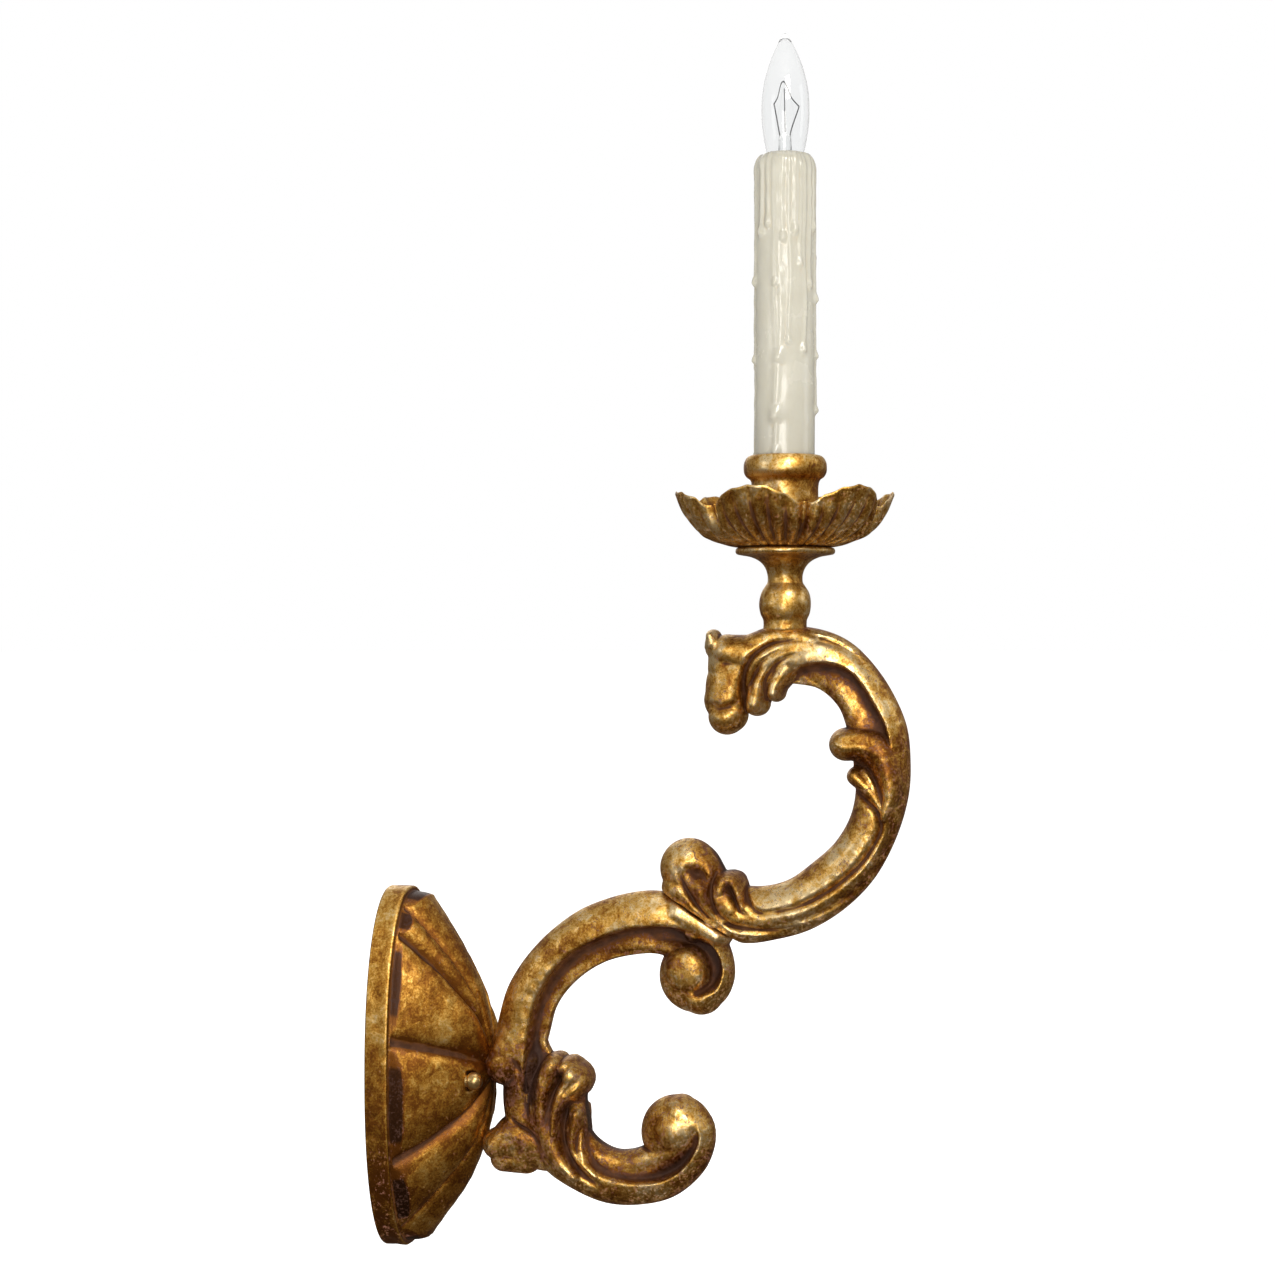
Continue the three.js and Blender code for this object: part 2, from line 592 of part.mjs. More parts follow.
function armBolt() {
  const { head, headThick, shank, length } = ARM_BOLT;
  const headSolid = turnedOut(rod(head, 0, headThick), 0, BOLT_HEAD_FACE - headThick, ARM_BOLT_Z, 6);
  const start = BOLT_HEAD_FACE - headThick / 2;
  return headSolid.add(turnedOut(rod(shank, 0, length), 0, start, ARM_BOLT_Z, 12));
}

function armWasher() {
  const ring = tube(ARM_BOLT.shank + GAP, ARM_BOLT.head, 0, ARM_BOLT.washer);
  return turnedOut(ring, 0, BOLT_HEAD_FACE + GAP, ARM_BOLT_Z, 18);
}

function leafScrew() {
  const { head, headThick, shank, length } = LEAF_SCREW;
  const face = hollowOut((head - LEAF_SCREW_Z) / PLATE.halfHeight);
  const profile = [
    [0, 0], [head, 0], [head, headThick], [shank, headThick], [shank, headThick + length],
    [0, headThick + length],
  ];
  return turnedOut(profile, 0, face - headThick - 1, LEAF_SCREW_Z, 12);
}

// ---- the assembly ----
const sconce = new THREE.Group();

function add(name, solid, material) {
  const mesh = new THREE.Mesh(geometryOf(solid), material);
  mesh.name = name;
  sconce.add(mesh);
}

add('backplate', backplate(), GILT);
add('wall_crossbar', crossbar(), STEEL);
add('ground_screw', groundScrew(), GREEN);
for (const [side, way] of [['left', -1], ['right', 1]]) {
  add(`mounting_stud_${side}`, stud(way), STEEL);
  add(`ball_nut_${side}`, ballNut(way), BRASS);
  add(`scroll_dowel_${side}`, dowelRod(way * DOWEL.x, DOWEL.radius, 0), WOOD);
}
add('arm_bolt', armBolt(), STEEL);
add('arm_bolt_washer', armWasher(), STEEL);
add('lower_arm_screw', leafScrew(), STEEL);
add('lower_scroll', lowerScroll(), GILT);
add('upper_scroll', upperScroll(), GILT);
add('stem', stem(), GILT);
add('bobeche', bobeche(), GILT);
add('candle_cup', candleCup(), GILT);
add('stem_rod', onCandle(tube(NIPPLE.inner, NIPPLE.outer, NIPPLE.bottom, NIPPLE.top), 20), BRASS);
add('rod_washer', onCandle(tube(NIPPLE_HOLE, 9.5, CUP_FLOOR + GAP, CUP_FLOOR + 1.5), 20), STEEL);
add('rod_locknut', hexNut(14, CUP_FLOOR + 1.8, 312.1), BRASS);
add('socket_bracket', socketBracket(), STEEL);
add('bracket_nut', hexNut(14, 314.1, 317.2), BRASS);
add('socket_body', socketBody(), BLACK);
add('socket_screw_shell', onCandle(tube(6.3, 6.7, SOCKET.floor + 1, SOCKET.top - 1), 20), BRASS);
add('socket_contact', onCandle(rod(2.4, SOCKET.floor + GAP, 438.4), 12), BRASS);
add('socket_liner', onCandle(tube(10.8, 11.4, 434.5, 460), 24), CARD);
add('terminal_screw_brass', terminalScrew(-1), BRASS);
add('terminal_screw_nickel', terminalScrew(1), NICKEL);
add('lead_black', lead(-1), BLACK);
add('lead_white', lead(1), WHITE);
add('wire_nut_black', wireNut(-1), BLACK);
add('wire_nut_white', wireNut(1), WHITE);
add('candle_sleeve', candleSleeve(), IVORY);
add('bulb_glass', bulbGlass(), CLEAR);
add('bulb_base_shell', bulbBase(), NICKEL);
add('bulb_insulator', onCandle(tube(2.1, 5.2, 439.3, BASE.bottom - GAP), 20), BLACK);
add('bulb_contact_tip', onCandle(rod(1.8, 438.8, 440.2), 12), NICKEL);
add('bulb_stem', onCandle([
  [0, 461.6], [4.6, 461.6], [3.4, 466], [2.9, 474], [3.3, 486], [2.9, 488.2], [0, 488.2],
], 16), CLEAR);
add('bulb_lead_left', bulbLead(-1), NICKEL);
add('bulb_lead_right', bulbLead(1), NICKEL);
add('bulb_filament', bulbFilament(), STEEL);
add('bulb_support', bulbSupport(), NICKEL);

export default sconce;
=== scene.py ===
"""Looks of the carved and gilded wall sconce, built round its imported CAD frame.

Metres and the row frame for the stage, millimetres for the shapes of the pieces. The carving code
works in (out, up): the distance out of the wall (-Y) and the height (Z). The arm is mirrored in X.
"""

import math

import bpy
import numpy as np
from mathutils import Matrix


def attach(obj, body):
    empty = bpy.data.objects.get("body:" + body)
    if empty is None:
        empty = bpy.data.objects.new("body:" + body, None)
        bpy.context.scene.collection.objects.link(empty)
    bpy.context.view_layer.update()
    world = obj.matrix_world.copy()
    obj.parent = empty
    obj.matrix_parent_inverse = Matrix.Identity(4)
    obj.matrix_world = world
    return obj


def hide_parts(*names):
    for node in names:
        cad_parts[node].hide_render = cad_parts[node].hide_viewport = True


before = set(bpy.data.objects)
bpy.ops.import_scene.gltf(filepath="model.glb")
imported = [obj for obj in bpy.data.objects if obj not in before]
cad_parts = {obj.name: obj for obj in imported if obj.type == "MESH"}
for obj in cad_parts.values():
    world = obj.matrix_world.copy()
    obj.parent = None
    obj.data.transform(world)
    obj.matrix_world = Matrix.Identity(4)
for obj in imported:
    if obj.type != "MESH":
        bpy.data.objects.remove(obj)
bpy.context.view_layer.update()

MM = 0.001
CANDLE_OUT = 215.0  # from the wall to the axis of the candle, in mm
FLOOR_Z, FLOOR_RADIUS = -0.16, 60
LOOK_AT = (0, -0.14, 0.2)
ROOM_LIGHT = 0.58


def unit(values):
    return np.clip(values, 0, 1)


def bell(values, width):
    return np.exp(-((values / width) ** 2))


def circle(columns):
    return np.arange(columns) * 2 * math.pi / columns


def link_object(name, data):
    item = bpy.data.objects.new(name, data)
    bpy.context.scene.collection.objects.link(item)
    return item


def set_stops(ramp, stops):
    while len(ramp.elements) < len(stops):
        ramp.elements.new(0.5)
    for element, (position, colour) in zip(ramp.elements, stops):
        element.position = position
        element.color = (*colour, 1)


# ---- camera, floor and light ----
def add_camera():
    camera = link_object("camera", bpy.data.cameras.new("camera"))
    camera.data.lens = 63.75
    camera.data.sensor_width = 36
    camera.data.clip_start, camera.data.clip_end = 0.02, 200
    camera.location = (-1.151, -0.413, 0.2293)
    camera.rotation_euler = (math.radians(90), 0, math.radians(-76.5))
    bpy.context.scene.camera = camera


def add_light(name, place, size, power, colour=(1, 1, 1)):
    """A soft box turned to the middle of the object, out of sight of the camera and the glass."""
    data = bpy.data.lights.new(name, "AREA")
    data.shape = "RECTANGLE"
    data.size, data.size_y = size
    data.energy = power
    data.color = colour
    light = link_object(name, data)
    light.location = place
    direction = np.array(LOOK_AT, float) - np.array(place, float)
    pitch = math.atan2(np.hypot(direction[0], direction[1]), -direction[2])
    light.rotation_euler = (pitch, 0, math.atan2(-direction[0], direction[1]))
    light.visible_camera = light.visible_transmission = False


def add_world():
    """White to the camera and through glass, and for the rest a room that is darker below."""
    world = bpy.data.worlds.new("studio")
    bpy.context.scene.world = world
    world.use_nodes = True
    nodes, link = world.node_tree.nodes, world.node_tree.links.new
    nodes.clear()
    kinds = ("OutputWorld", "LightPath", "Math", "Background", "Background", "ValToRGB", "TexCoord",
             "SeparateXYZ", "MapRange", "MixShader")
    out, path, seen, backdrop, room, shade, place, split, height, mix = (
        nodes.new("ShaderNode" + kind) for kind in kinds)
    seen.operation = "MAXIMUM"
    backdrop.inputs["Color"].default_value = (1, 1, 1, 1)
    backdrop.inputs["Strength"].default_value = 1.0
    room.inputs["Strength"].default_value = ROOM_LIGHT
    height.inputs["From Min"].default_value = -1
    set_stops(shade.color_ramp, [
        (0.2, (0.19, 0.145, 0.11)), (0.5, (0.33, 0.295, 0.26)), (0.85, (0.92, 0.89, 0.86))])
    link(place.outputs["Generated"], split.inputs[0])
    link(split.outputs["Z"], height.inputs["Value"])
    link(height.outputs[0], shade.inputs[0])
    link(shade.outputs[0], room.inputs["Color"])
    link(path.outputs["Is Camera Ray"], seen.inputs[0])
    link(path.outputs["Is Transmission Ray"], seen.inputs[1])
    for index, node in enumerate((seen, room, backdrop)):
        link(node.outputs[0], mix.inputs[index])
    link(mix.outputs[0], out.inputs[0])


def add_floor():
    ring = circle(96)
    rim = np.stack([FLOOR_RADIUS * np.cos(ring), FLOOR_RADIUS * np.sin(ring), 0 * ring], 1)
    faces = [(0, 1 + k, 1 + (k + 1) % len(ring)) for k in range(len(ring))]
    mesh = bpy.data.meshes.new("floor")
    mesh.from_pydata([[0, 0, 0], *rim.tolist()], [], faces)
    floor = link_object("floor", mesh)
    floor.location = (0, 0, FLOOR_Z)
    floor.visible_glossy = False
    m = Nodes("floor_paint", roughness=0.9)
    cloud = m.noise(3, 3, 0.5)
    colour = m.ramp(cloud, [(0.3, (0.86, 0.86, 0.85)), (0.7, (0.89, 0.89, 0.88))])
    m.set(Base_Color=colour, Emission_Color=(1, 1, 1), Emission_Strength=0.8)
    mesh.materials.append(m.material)


# ---- node materials ----
class Nodes:
    """A small builder for one procedural material. Output sockets are passed about as values."""

    def __init__(self, name, colour=(0.8, 0.8, 0.8), roughness=0.5, metallic=0.0):
        self.material = bpy.data.materials.new(name)
        self.material.use_nodes = True
        self.tree = self.material.node_tree
        self.shader = self.tree.nodes["Principled BSDF"]
        self.set(Base_Color=colour, Roughness=roughness, Metallic=metallic)
        self.place = self.node("TexCoord").outputs["Object"]

    def feed(self, socket, value):
        if isinstance(value, bpy.types.NodeSocket):
            self.tree.links.new(value, socket)
        elif isinstance(value, tuple) and len(value) == 3 and len(socket.default_value) == 4:
            socket.default_value = (*value, 1)
        else:
            socket.default_value = value

    def fill(self, node, inputs):
        """Feeds inputs of a node, whose names have _ for a space."""
        for name, value in inputs.items():
            self.feed(node.inputs[name.replace("_", " ")], value)
        return node

    def set(self, **inputs):
        self.fill(self.shader, inputs)

    def node(self, kind, **inputs):
        return self.fill(self.tree.nodes.new("ShaderNode" + kind), inputs)

    def stretched(self, scale):
        return self.node("Mapping", Vector=self.place, Scale=scale).outputs[0]

    def noise(self, scale, detail=4, roughness=0.5, vector=None, distortion=0.0):
        node = self.node("TexNoise", Vector=vector or self.place, Scale=scale, Detail=detail,
                         Roughness=roughness, Distortion=distortion)
        return node.outputs["Fac"]

    def attribute(self, name):
        node = self.node("Attribute")
        node.attribute_name = name
        return node.outputs["Fac"]

    def math(self, operation, a, b):
        node = self.node("Math")
        node.operation = operation
        self.feed(node.inputs[0], a)
        self.feed(node.inputs[1], b)
        return node.outputs[0]

    def total(self, *terms):
        """The sum of its terms, each a value and its weight."""
        total, *others = [self.math("MULTIPLY", value, weight) for value, weight in terms]
        for other in others:
            total = self.math("ADD", total, other)
        return total

    def step(self, value, low, high, to_low=0.0, to_high=1.0):
        node = self.node("MapRange", Value=value, From_Min=low, From_Max=high, To_Min=to_low,
                         To_Max=to_high)
        node.interpolation_type = "SMOOTHSTEP"
        return node.outputs[0]

    def ramp(self, value, stops):
        node = self.node("ValToRGB")
        self.feed(node.inputs[0], value)
        set_stops(node.color_ramp, stops)
        return node.outputs[0]

    def mix(self, share, a, b):
        node = self.node("Mix")
        node.data_type = "RGBA"
        for index, value in ((0, share), (6, a), (7, b)):
            self.feed(node.inputs[index], value)
        return node.outputs[2]

    def bump(self, height, strength, distance):
        node = self.node("Bump", Height=height, Strength=strength, Distance=distance)
        self.set(Normal=node.outputs[0])


def gilt(name, toned=0.0, rubbed=0.0, patchy=1.0):
    """Water gilding over red-brown bole: leaf with a painted highlight on the crests, and grime with
    painted shade in the hollows and coves.

    More toned is darker leaf, more rubbed is more bare bole, and less patchy is evener leaf.
    """
    m = Nodes(name)
    hollow, deep, aged = (m.attribute(key) for key in ("hollow", "deep", "aged"))
    cloud = m.noise(40, 3, 0.5)
    flow = m.noise(165, 7, 0.68, distortion=0.7)
    rub = m.noise(215, 7, 0.72, distortion=1.2)
    grain = m.noise(850, 4, 0.7)
    speck = m.noise(1500, 2, 0.6)
    # Leaf tone: darker in the deep coves (painted shade), a little lighter on the crests (painted
    # highlight), and darker where the shading mark is high (painted shade).
    tone = m.total(
        (cloud, 0.45 * patchy), (flow, 0.55 * patchy), (m.math("SUBTRACT", grain, 0.5), 0.36),
        (m.step(deep, 0.0, 1.1), -0.20), (m.step(hollow, 0.0, -0.5), 0.05), (aged, -0.14))
    tone = m.math("SUBTRACT", tone, toned - 0.5 * (1 - patchy))
    leaf = m.ramp(tone, [
        (0.34, (0.19, 0.064, 0.008)), (0.42, (0.41, 0.188, 0.024)),
        (0.49, (0.69, 0.41, 0.094)), (0.59, (0.91, 0.71, 0.39))])
    worn_and_shaded = m.total((rub, 0.6), (grain, 0.4), (aged, 0.07))
    bare = m.step(worn_and_shaded, 0.585 - rubbed, 0.64 - rubbed)
    bole = m.ramp(grain, [
        (0.35, (0.046, 0.014, 0.007)), (0.55, (0.115, 0.042, 0.026)), (0.72, (0.210, 0.105, 0.090))])
    # Dark brown for grime in the crevices and painted shade in the coves; the mask below takes both.
    dirt_and_shade = m.ramp(flow, [(0.38, (0.025, 0.0075, 0.002)), (0.62, (0.068, 0.024, 0.009))])
    dust_and_shade = m.total((hollow, 0.7), (deep, 0.35), (m.math("SUBTRACT", flow, 0.5), 0.9))
    sunk = m.step(dust_and_shade, 0.10, 0.55)
    pits = m.step(speck, 0.64, 0.70)
    colour = m.mix(m.math("MULTIPLY", bare, 0.9), leaf, bole)
    colour = m.mix(m.math("MULTIPLY", sunk, 0.9), colour, dirt_and_shade)
    # Near-black painted shade where the shading mark is high: deep coves, the plate's lens walls and its
    # back.
    colour = m.mix(m.step(aged, 0.8, 0.95, 0.0, 0.85), colour, (0.030, 0.012, 0.007))
    colour = m.mix(m.math("MULTIPLY", pits, 0.75), colour, (0.030, 0.011, 0.006))
    cover = m.math("MAXIMUM", bare, sunk)
    m.set(Base_Color=colour, Metallic=m.step(cover, 0.0, 1.0, 1.0, 0.25),
          Roughness=m.total((m.step(tone, 0.36, 0.58, 0.50, 0.35), 1.0), (cover, 0.10)),
          Specular_IOR_Level=0.22, Coat_Weight=m.step(cover, 0.0, 1.0, 0.15, 0.0), Coat_Roughness=0.30)
    m.bump(m.total((flow, 0.7), (grain, 0.35), (bare, -0.08), (pits, -0.2)), 0.6, 0.0004)
    return m.material


def metal(name, dark, bright, roughness, scale=300.0):
    m = Nodes(name, metallic=1.0)
    grain = m.noise(scale, 6, 0.65)
    broad = m.noise(scale / 9, 3, 0.5)
    m.set(Base_Color=m.ramp(m.total((grain, 0.5), (broad, 0.5)), [(0.36, dark), (0.62, bright)]),
          Roughness=m.step(grain, 0.3, 0.7, roughness - 0.08, roughness + 0.12))
    m.bump(grain, 0.25, 0.0002)
    return m.material


def dull(name, dark, bright, roughness, scale=400.0, depth=0.0002, stretch=None):
    """A non-metal: plastic, card, ceramic or wood."""
    m = Nodes(name)
    vector = m.stretched(stretch) if stretch else None
    grain = m.noise(scale, 6, 0.6, vector)
    m.set(Base_Color=m.ramp(grain, [(0.32, dark), (0.68, bright)]),
          Roughness=m.step(grain, 0.3, 0.7, roughness - 0.06, roughness + 0.08))
    m.bump(grain, 0.3, depth)
    return m.material


def wax():
    m = Nodes("wax")
    cloud = m.noise(60, 5, 0.55)
    fine = m.noise(900, 3, 0.6)
    hollow = m.attribute("hollow")
    colour = m.ramp(cloud, [(0.3, (0.395, 0.381, 0.318)), (0.7, (0.428, 0.416, 0.356))])
    # Yellower and a little darker in the creases beside the drips: painted shade.
    colour = m.mix(m.step(hollow, 0.03, 0.3, 0.0, 0.45), colour, (0.42, 0.36, 0.25))
    m.set(Base_Color=colour, Roughness=m.step(cloud, 0.3, 0.7, 0.16, 0.28), Subsurface_Weight=0.15,
          Subsurface_Radius=(0.0025, 0.002, 0.0012), Subsurface_Scale=1.0, Coat_Weight=0.35,
          Coat_Roughness=0.18)
    m.bump(m.total((cloud, 1.0), (fine, 0.12)), 0.35, 0.0008)
    return m.material


def glass(name, tint):
    m = Nodes(name, tint)
    film = m.noise(90, 3, 0.5)
    m.set(Transmission_Weight=1.0, IOR=1.45, Roughness=m.step(film, 0.4, 0.8, 0.0, 0.04))
    return m.material


# ---- meshes ----
def normals_of(points, faces):
    corner = points[faces]
    cross = np.cross(corner[:, 2] - corner[:, 0], corner[:, 3] - corner[:, 1])
    normal = np.zeros_like(points)
    for k in range(4):
        for axis in range(3):
            normal[:, axis] += np.bincount(faces[:, k], cross[:, axis], len(points))
    return normal / np.maximum(np.linalg.norm(normal, axis=1), 1e-12)[:, None]


def hollow_of(points, faces, reach=2.4):
    """How far a smoothed skin stands over each point, in mm: above 0 in a groove, below 0 on a ridge."""
    pairs = np.vstack([faces[:, [k, (k + 1) % 4]] for k in range(4)])
    pairs = pairs[pairs[:, 0] != pairs[:, 1]]
    pairs = np.vstack([pairs, pairs[:, ::-1]])
    count = np.maximum(np.bincount(pairs[:, 0], minlength=len(points)), 1)
    edge = np.median(np.linalg.norm(points[pairs[:, 0]] - points[pairs[:, 1]], axis=1))
    smooth = points.copy()
    for _ in range(int(np.clip((reach / edge) ** 2 * 1.5, 3, 90))):
        around = np.stack(
            [np.bincount(pairs[:, 0], smooth[pairs[:, 1], axis], len(points)) for axis in range(3)], 1)
        smooth += 0.6 * (around / count[:, None] - smooth)
    return np.einsum("ij,ij->i", smooth - points, normals_of(points, faces))


def add_piece(name, points, faces, material, slot, replaced, body="sconce", worn_and_shaded=False, aged=None):
    """A mesh given in mm in the row frame, riding on a body and standing for its CAD nodes."""
    mesh = bpy.data.meshes.new(name)
    clean = [[v for k, v in enumerate(f) if v != f[k - 1]] for f in faces.tolist()]
    mesh.from_pydata((points * MM).tolist(), [], clean)
    mesh.materials.append(material)
    mesh.shade_smooth()
    if worn_and_shaded:
        # The hollow and deep marks measure grooves and coves; the third mark carries painted shade and a
        # little wear.
        marks = {"hollow": hollow_of(points, faces), "deep": hollow_of(points, faces, 6.5)}
        marks["aged"] = np.zeros(len(points)) if aged is None else aged
        for key, values in marks.items():
            attribute = mesh.attributes.new(key, "FLOAT", "POINT")
            attribute.data.foreach_set("value", np.asarray(values).astype(np.float32))
    piece = link_object(name, mesh)
    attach(piece, body)
    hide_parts(*replaced)


def shade_wear_of(points, dug, cove_share, spots):
    """How much painted shade a carving gets: in its coves, along its outline where it is seen edge-on
    (there with a little more bare bole), and around each [y, z, size, amount].
    """
    shade_wear = cove_share * dug + 0.5 * bell(points[:, 0], 7) * (1 - unit(dug * 1.3))
    for y, z, size, amount in spots:
        shade_wear += amount * np.exp(-((points[:, 1] - y) ** 2 + (points[:, 2] - z) ** 2) / size**2)
    return shade_wear


def wobble(points, length, seed):
    """Smooth seeded unevenness at points of any grid, about -1 to 1, with bumps of that length."""
    draw = np.random.default_rng(seed)
    waves = 14
    flat = points.reshape(-1, points.shape[-1])
    total = np.zeros(len(flat))
    for _ in range(waves):
        direction = draw.normal(size=flat.shape[1])
        direction *= 2 * math.pi / (length * draw.uniform(0.7, 1.6)) / np.linalg.norm(direction)
        total += np.sin(flat @ direction + draw.uniform(0, 2 * math.pi))
    return (total / math.sqrt(waves)).reshape(points.shape[:-1])


def spline(points, step):
    """A smooth curve through rows of numbers whose first two columns are a place, about step apart."""
    p = np.array(points, float)
    if len(p) == 1:
        p = np.vstack([p, p + np.eye(1, p.shape[1]) * 0.01])
    length = np.linalg.norm(np.diff(p[:, :2], axis=0), axis=1)
    knots = np.concatenate([[0], np.cumsum(length**0.5 + 1e-6)])
    slope = np.diff(p, axis=0) / np.diff(knots)[:, None]
    tangent = slope[:1].repeat(len(p), 0)
    tangent[-1] = slope[-1]
    if len(p) > 2:
        before, after = np.diff(knots)[:-1, None], np.diff(knots)[1:, None]
        tangent[1:-1] = (slope[:-1] * after + slope[1:] * before) / (before + after)
    rows = []
    for k, reach in enumerate(length):
        gap = knots[k + 1] - knots[k]
        t = np.linspace(0, 1, max(2, int(reach / step) + 2))[:-1, None]
        rows.append(
            (2 * t**3 - 3 * t**2 + 1) * p[k] + (t**3 - 2 * t**2 + t) * gap * tangent[k]
            + (3 * t**2 - 2 * t**3) * p[k + 1] + (t**3 - t**2) * gap * tangent[k + 1])
    return np.vstack(rows + [p[-1:]])


# ---- carving: a relief x*x = q(out, up), mirrored in X ----
class Relief:
    GRID = 0.5  # mm
    OUTSIDE = -90.0  # q where there is no wood
    LEAST = 12  # the q that is left under every groove

    def __init__(self, low, high):
        self.low = np.array(low, float)
        self.out = np.arange(low[0], high[0], self.GRID)
        self.up = np.arange(low[1], high[1], self.GRID)
        self.U, self.Z = np.meshgrid(self.out, self.up, indexing="ij")
        self.q = np.full(self.U.shape, self.OUTSIDE)
        self.dug = np.zeros(self.U.shape)

    def near(self, path, reach):
        """Signed distance to a path (left of it is above 0) and the place along it, where it is near."""
        distance = np.full(self.U.shape, 1e6)
        side = np.ones(self.U.shape)
        along = np.zeros(self.U.shape)
        for k in range(len(path) - 1):
            a, b = path[k, :2], path[k + 1, :2]
            low = ((np.minimum(a, b) - reach - self.low) / self.GRID).astype(int)
            high = ((np.maximum(a, b) + reach - self.low) / self.GRID).astype(int) + 2
            low = np.maximum(low, 0)
            if (high <= low).any():
                continue
            box = (slice(low[0], high[0]), slice(low[1], high[1]))
            du, dz = self.U[box] - a[0], self.Z[box] - a[1]
            way = b - a
            t = unit((du * way[0] + dz * way[1]) / (way @ way + 1e-9))
            eu, ez = du - t * way[0], dz - t * way[1]
            d = np.sqrt(eu * eu + ez * ez)
            better = d < distance[box]
            distance[box] = np.where(better, d, distance[box])
            side[box] = np.where(better, np.sign(way[0] * ez - way[1] * eu), side[box])
            along[box] = np.where(better, k + t, along[box])
        return distance, side, along

    def add(self, route, depth, blend=8.0, flat=1.0):
        """A raised stroke: route is [out, up, half width]; flat above 1 squares its section."""
        path = spline(route, 1.5)
        distance, _, along = self.near(path, path[:, 2].max() * 1.7)
        wide = np.interp(along, np.arange(len(path)), path[:, 2])
        v = distance / wide
        q = depth**2 * (1 - v ** (2 * flat))
        q = np.where(v > 1.6, self.OUTSIDE, q)
        h = unit(0.5 + 0.5 * (q - self.q) / blend)
        self.q = self.q + h * (q - self.q) + blend * h * (1 - h)

    def cut(self, route, crest=0.0):
        """A groove: route is [out, up, left width, right width, depth]; a negative depth is a ridge.
        A row has one width where both are alike.

        With a crest the route is a sharp edge, and a cove of that width falls from it to its right, or
        to its left where the crest is below 0.
        """
        path = spline([[*row[:3], *row[-2:]] for row in route], 1.2)
        way = np.gradient(path[:, :2], axis=0)
        way /= np.linalg.norm(way, axis=1)[:, None]
        path[:, :2] += crest * np.stack([way[:, 1], -way[:, 0]], 1)
        rows = np.arange(len(path))
        distance, side, along = self.near(path, path[:, 2:4].max() * 2.6)
        left, right, deep = (np.interp(along, rows, path[:, k]) for k in (2, 3, 4))
        wide = np.where(side > 0, left, right)
        fall = bell(distance, np.maximum(wide, 0.2))
        if crest:
            cove = unit(1 - (distance / abs(crest)) ** 2)
            fall = np.where(side * crest > 0, cove, fall)
            self.dug = np.maximum(self.dug, deep * fall / 10)
        h = np.sqrt(np.maximum(self.q, 0))
        lower = self.q * (1 - np.clip(deep * fall / (h + 1.5), -0.5, 0.92)) ** 2
        self.q = np.where(self.q > 0, np.maximum(lower, np.minimum(self.q, self.LEAST)), self.q)

    def trim(self, a, b, keep):
        """Keeps what is on one side of the line from a to b (1 left, -1 right), with an eased edge."""
        way = np.array(b, float) - a
        way /= np.linalg.norm(way)
        distance = keep * (way[0] * (self.Z - a[1]) - way[1] * (self.U - a[0]))
        self.q = np.minimum(self.q, np.maximum(distance, -2) * 420)

    def cover(self, a, b, radius, half):
        """Leaves at least that half thickness of wood over a rod lying from a to b inside the carving."""
        distance, _, _ = self.near(np.array([a, b], float), radius * 3)
        fade = bell(np.maximum(distance - radius, 0), 1.6)
        self.q = np.where(self.q > 0, np.maximum(self.q, half**2 * fade), self.q)

    def uneven(self, seed):
        """The hand of the carver: slow unevenness and small knife flats."""
        places = np.stack([self.U, self.Z], -1)
        slow = wobble(places, 26, seed)
        small = wobble(places, 6.5, seed + 1)
        self.q = np.where(self.q > 0, self.q * (1 + 0.022 * slow + 0.012 * small), self.q) + 1.6 * slow

    def sample(self, field, u, z):
        a = np.clip((u - self.low[0]) / self.GRID, 0, len(self.out) - 1.001)
        b = np.clip((z - self.low[1]) / self.GRID, 0, len(self.up) - 1.001)
        i, j = a.astype(int), b.astype(int)
        s, t = a - i, b - j
        return (field[i, j] * (1 - s) * (1 - t) + field[i + 1, j] * s * (1 - t)
                + field[i, j + 1] * (1 - s) * t + field[i + 1, j + 1] * s * t)

    def skin(self, step=0.85):
        """The closed skin in mm, in the row frame, its outward faces, and how deep in a cove it lies."""
        reach = math.sqrt(self.q.max()) + 2 * step
        xs = np.arange(-math.ceil(reach / step), math.ceil(reach / step) + 1) * step
        us = np.arange(self.out[1], self.out[-2], step)
        zs = np.arange(self.up[1], self.up[-2], step)
        gu, gz = np.meshgrid(us, zs, indexing="ij")
        q = self.sample(self.q, gu, gz)
        f = (xs[:, None, None] ** 2 - q[None]).astype(np.float32)
        points, faces = surface_nets(f)
        points = points * step + np.array([xs[0], us[0], zs[0]])
        slope_u, slope_z = np.gradient(self.q, self.GRID)
        for _ in range(3):
            x, u, z = points.T
            value = x * x - self.sample(self.q, u, z)
            slope = np.stack([2 * x, -self.sample(slope_u, u, z), -self.sample(slope_z, u, z)], 1)
            shift = slope * (value / np.maximum((slope**2).sum(1), 4.0))[:, None]
            size = np.linalg.norm(shift, axis=1)
            points = points - shift * np.minimum(1, 0.6 * step / np.maximum(size, 1e-9))[:, None]
        dug = self.sample(self.dug, points[:, 1], points[:, 2])
        return np.stack([points[:, 0], -points[:, 1], points[:, 2]], 1), faces[:, ::-1], dug


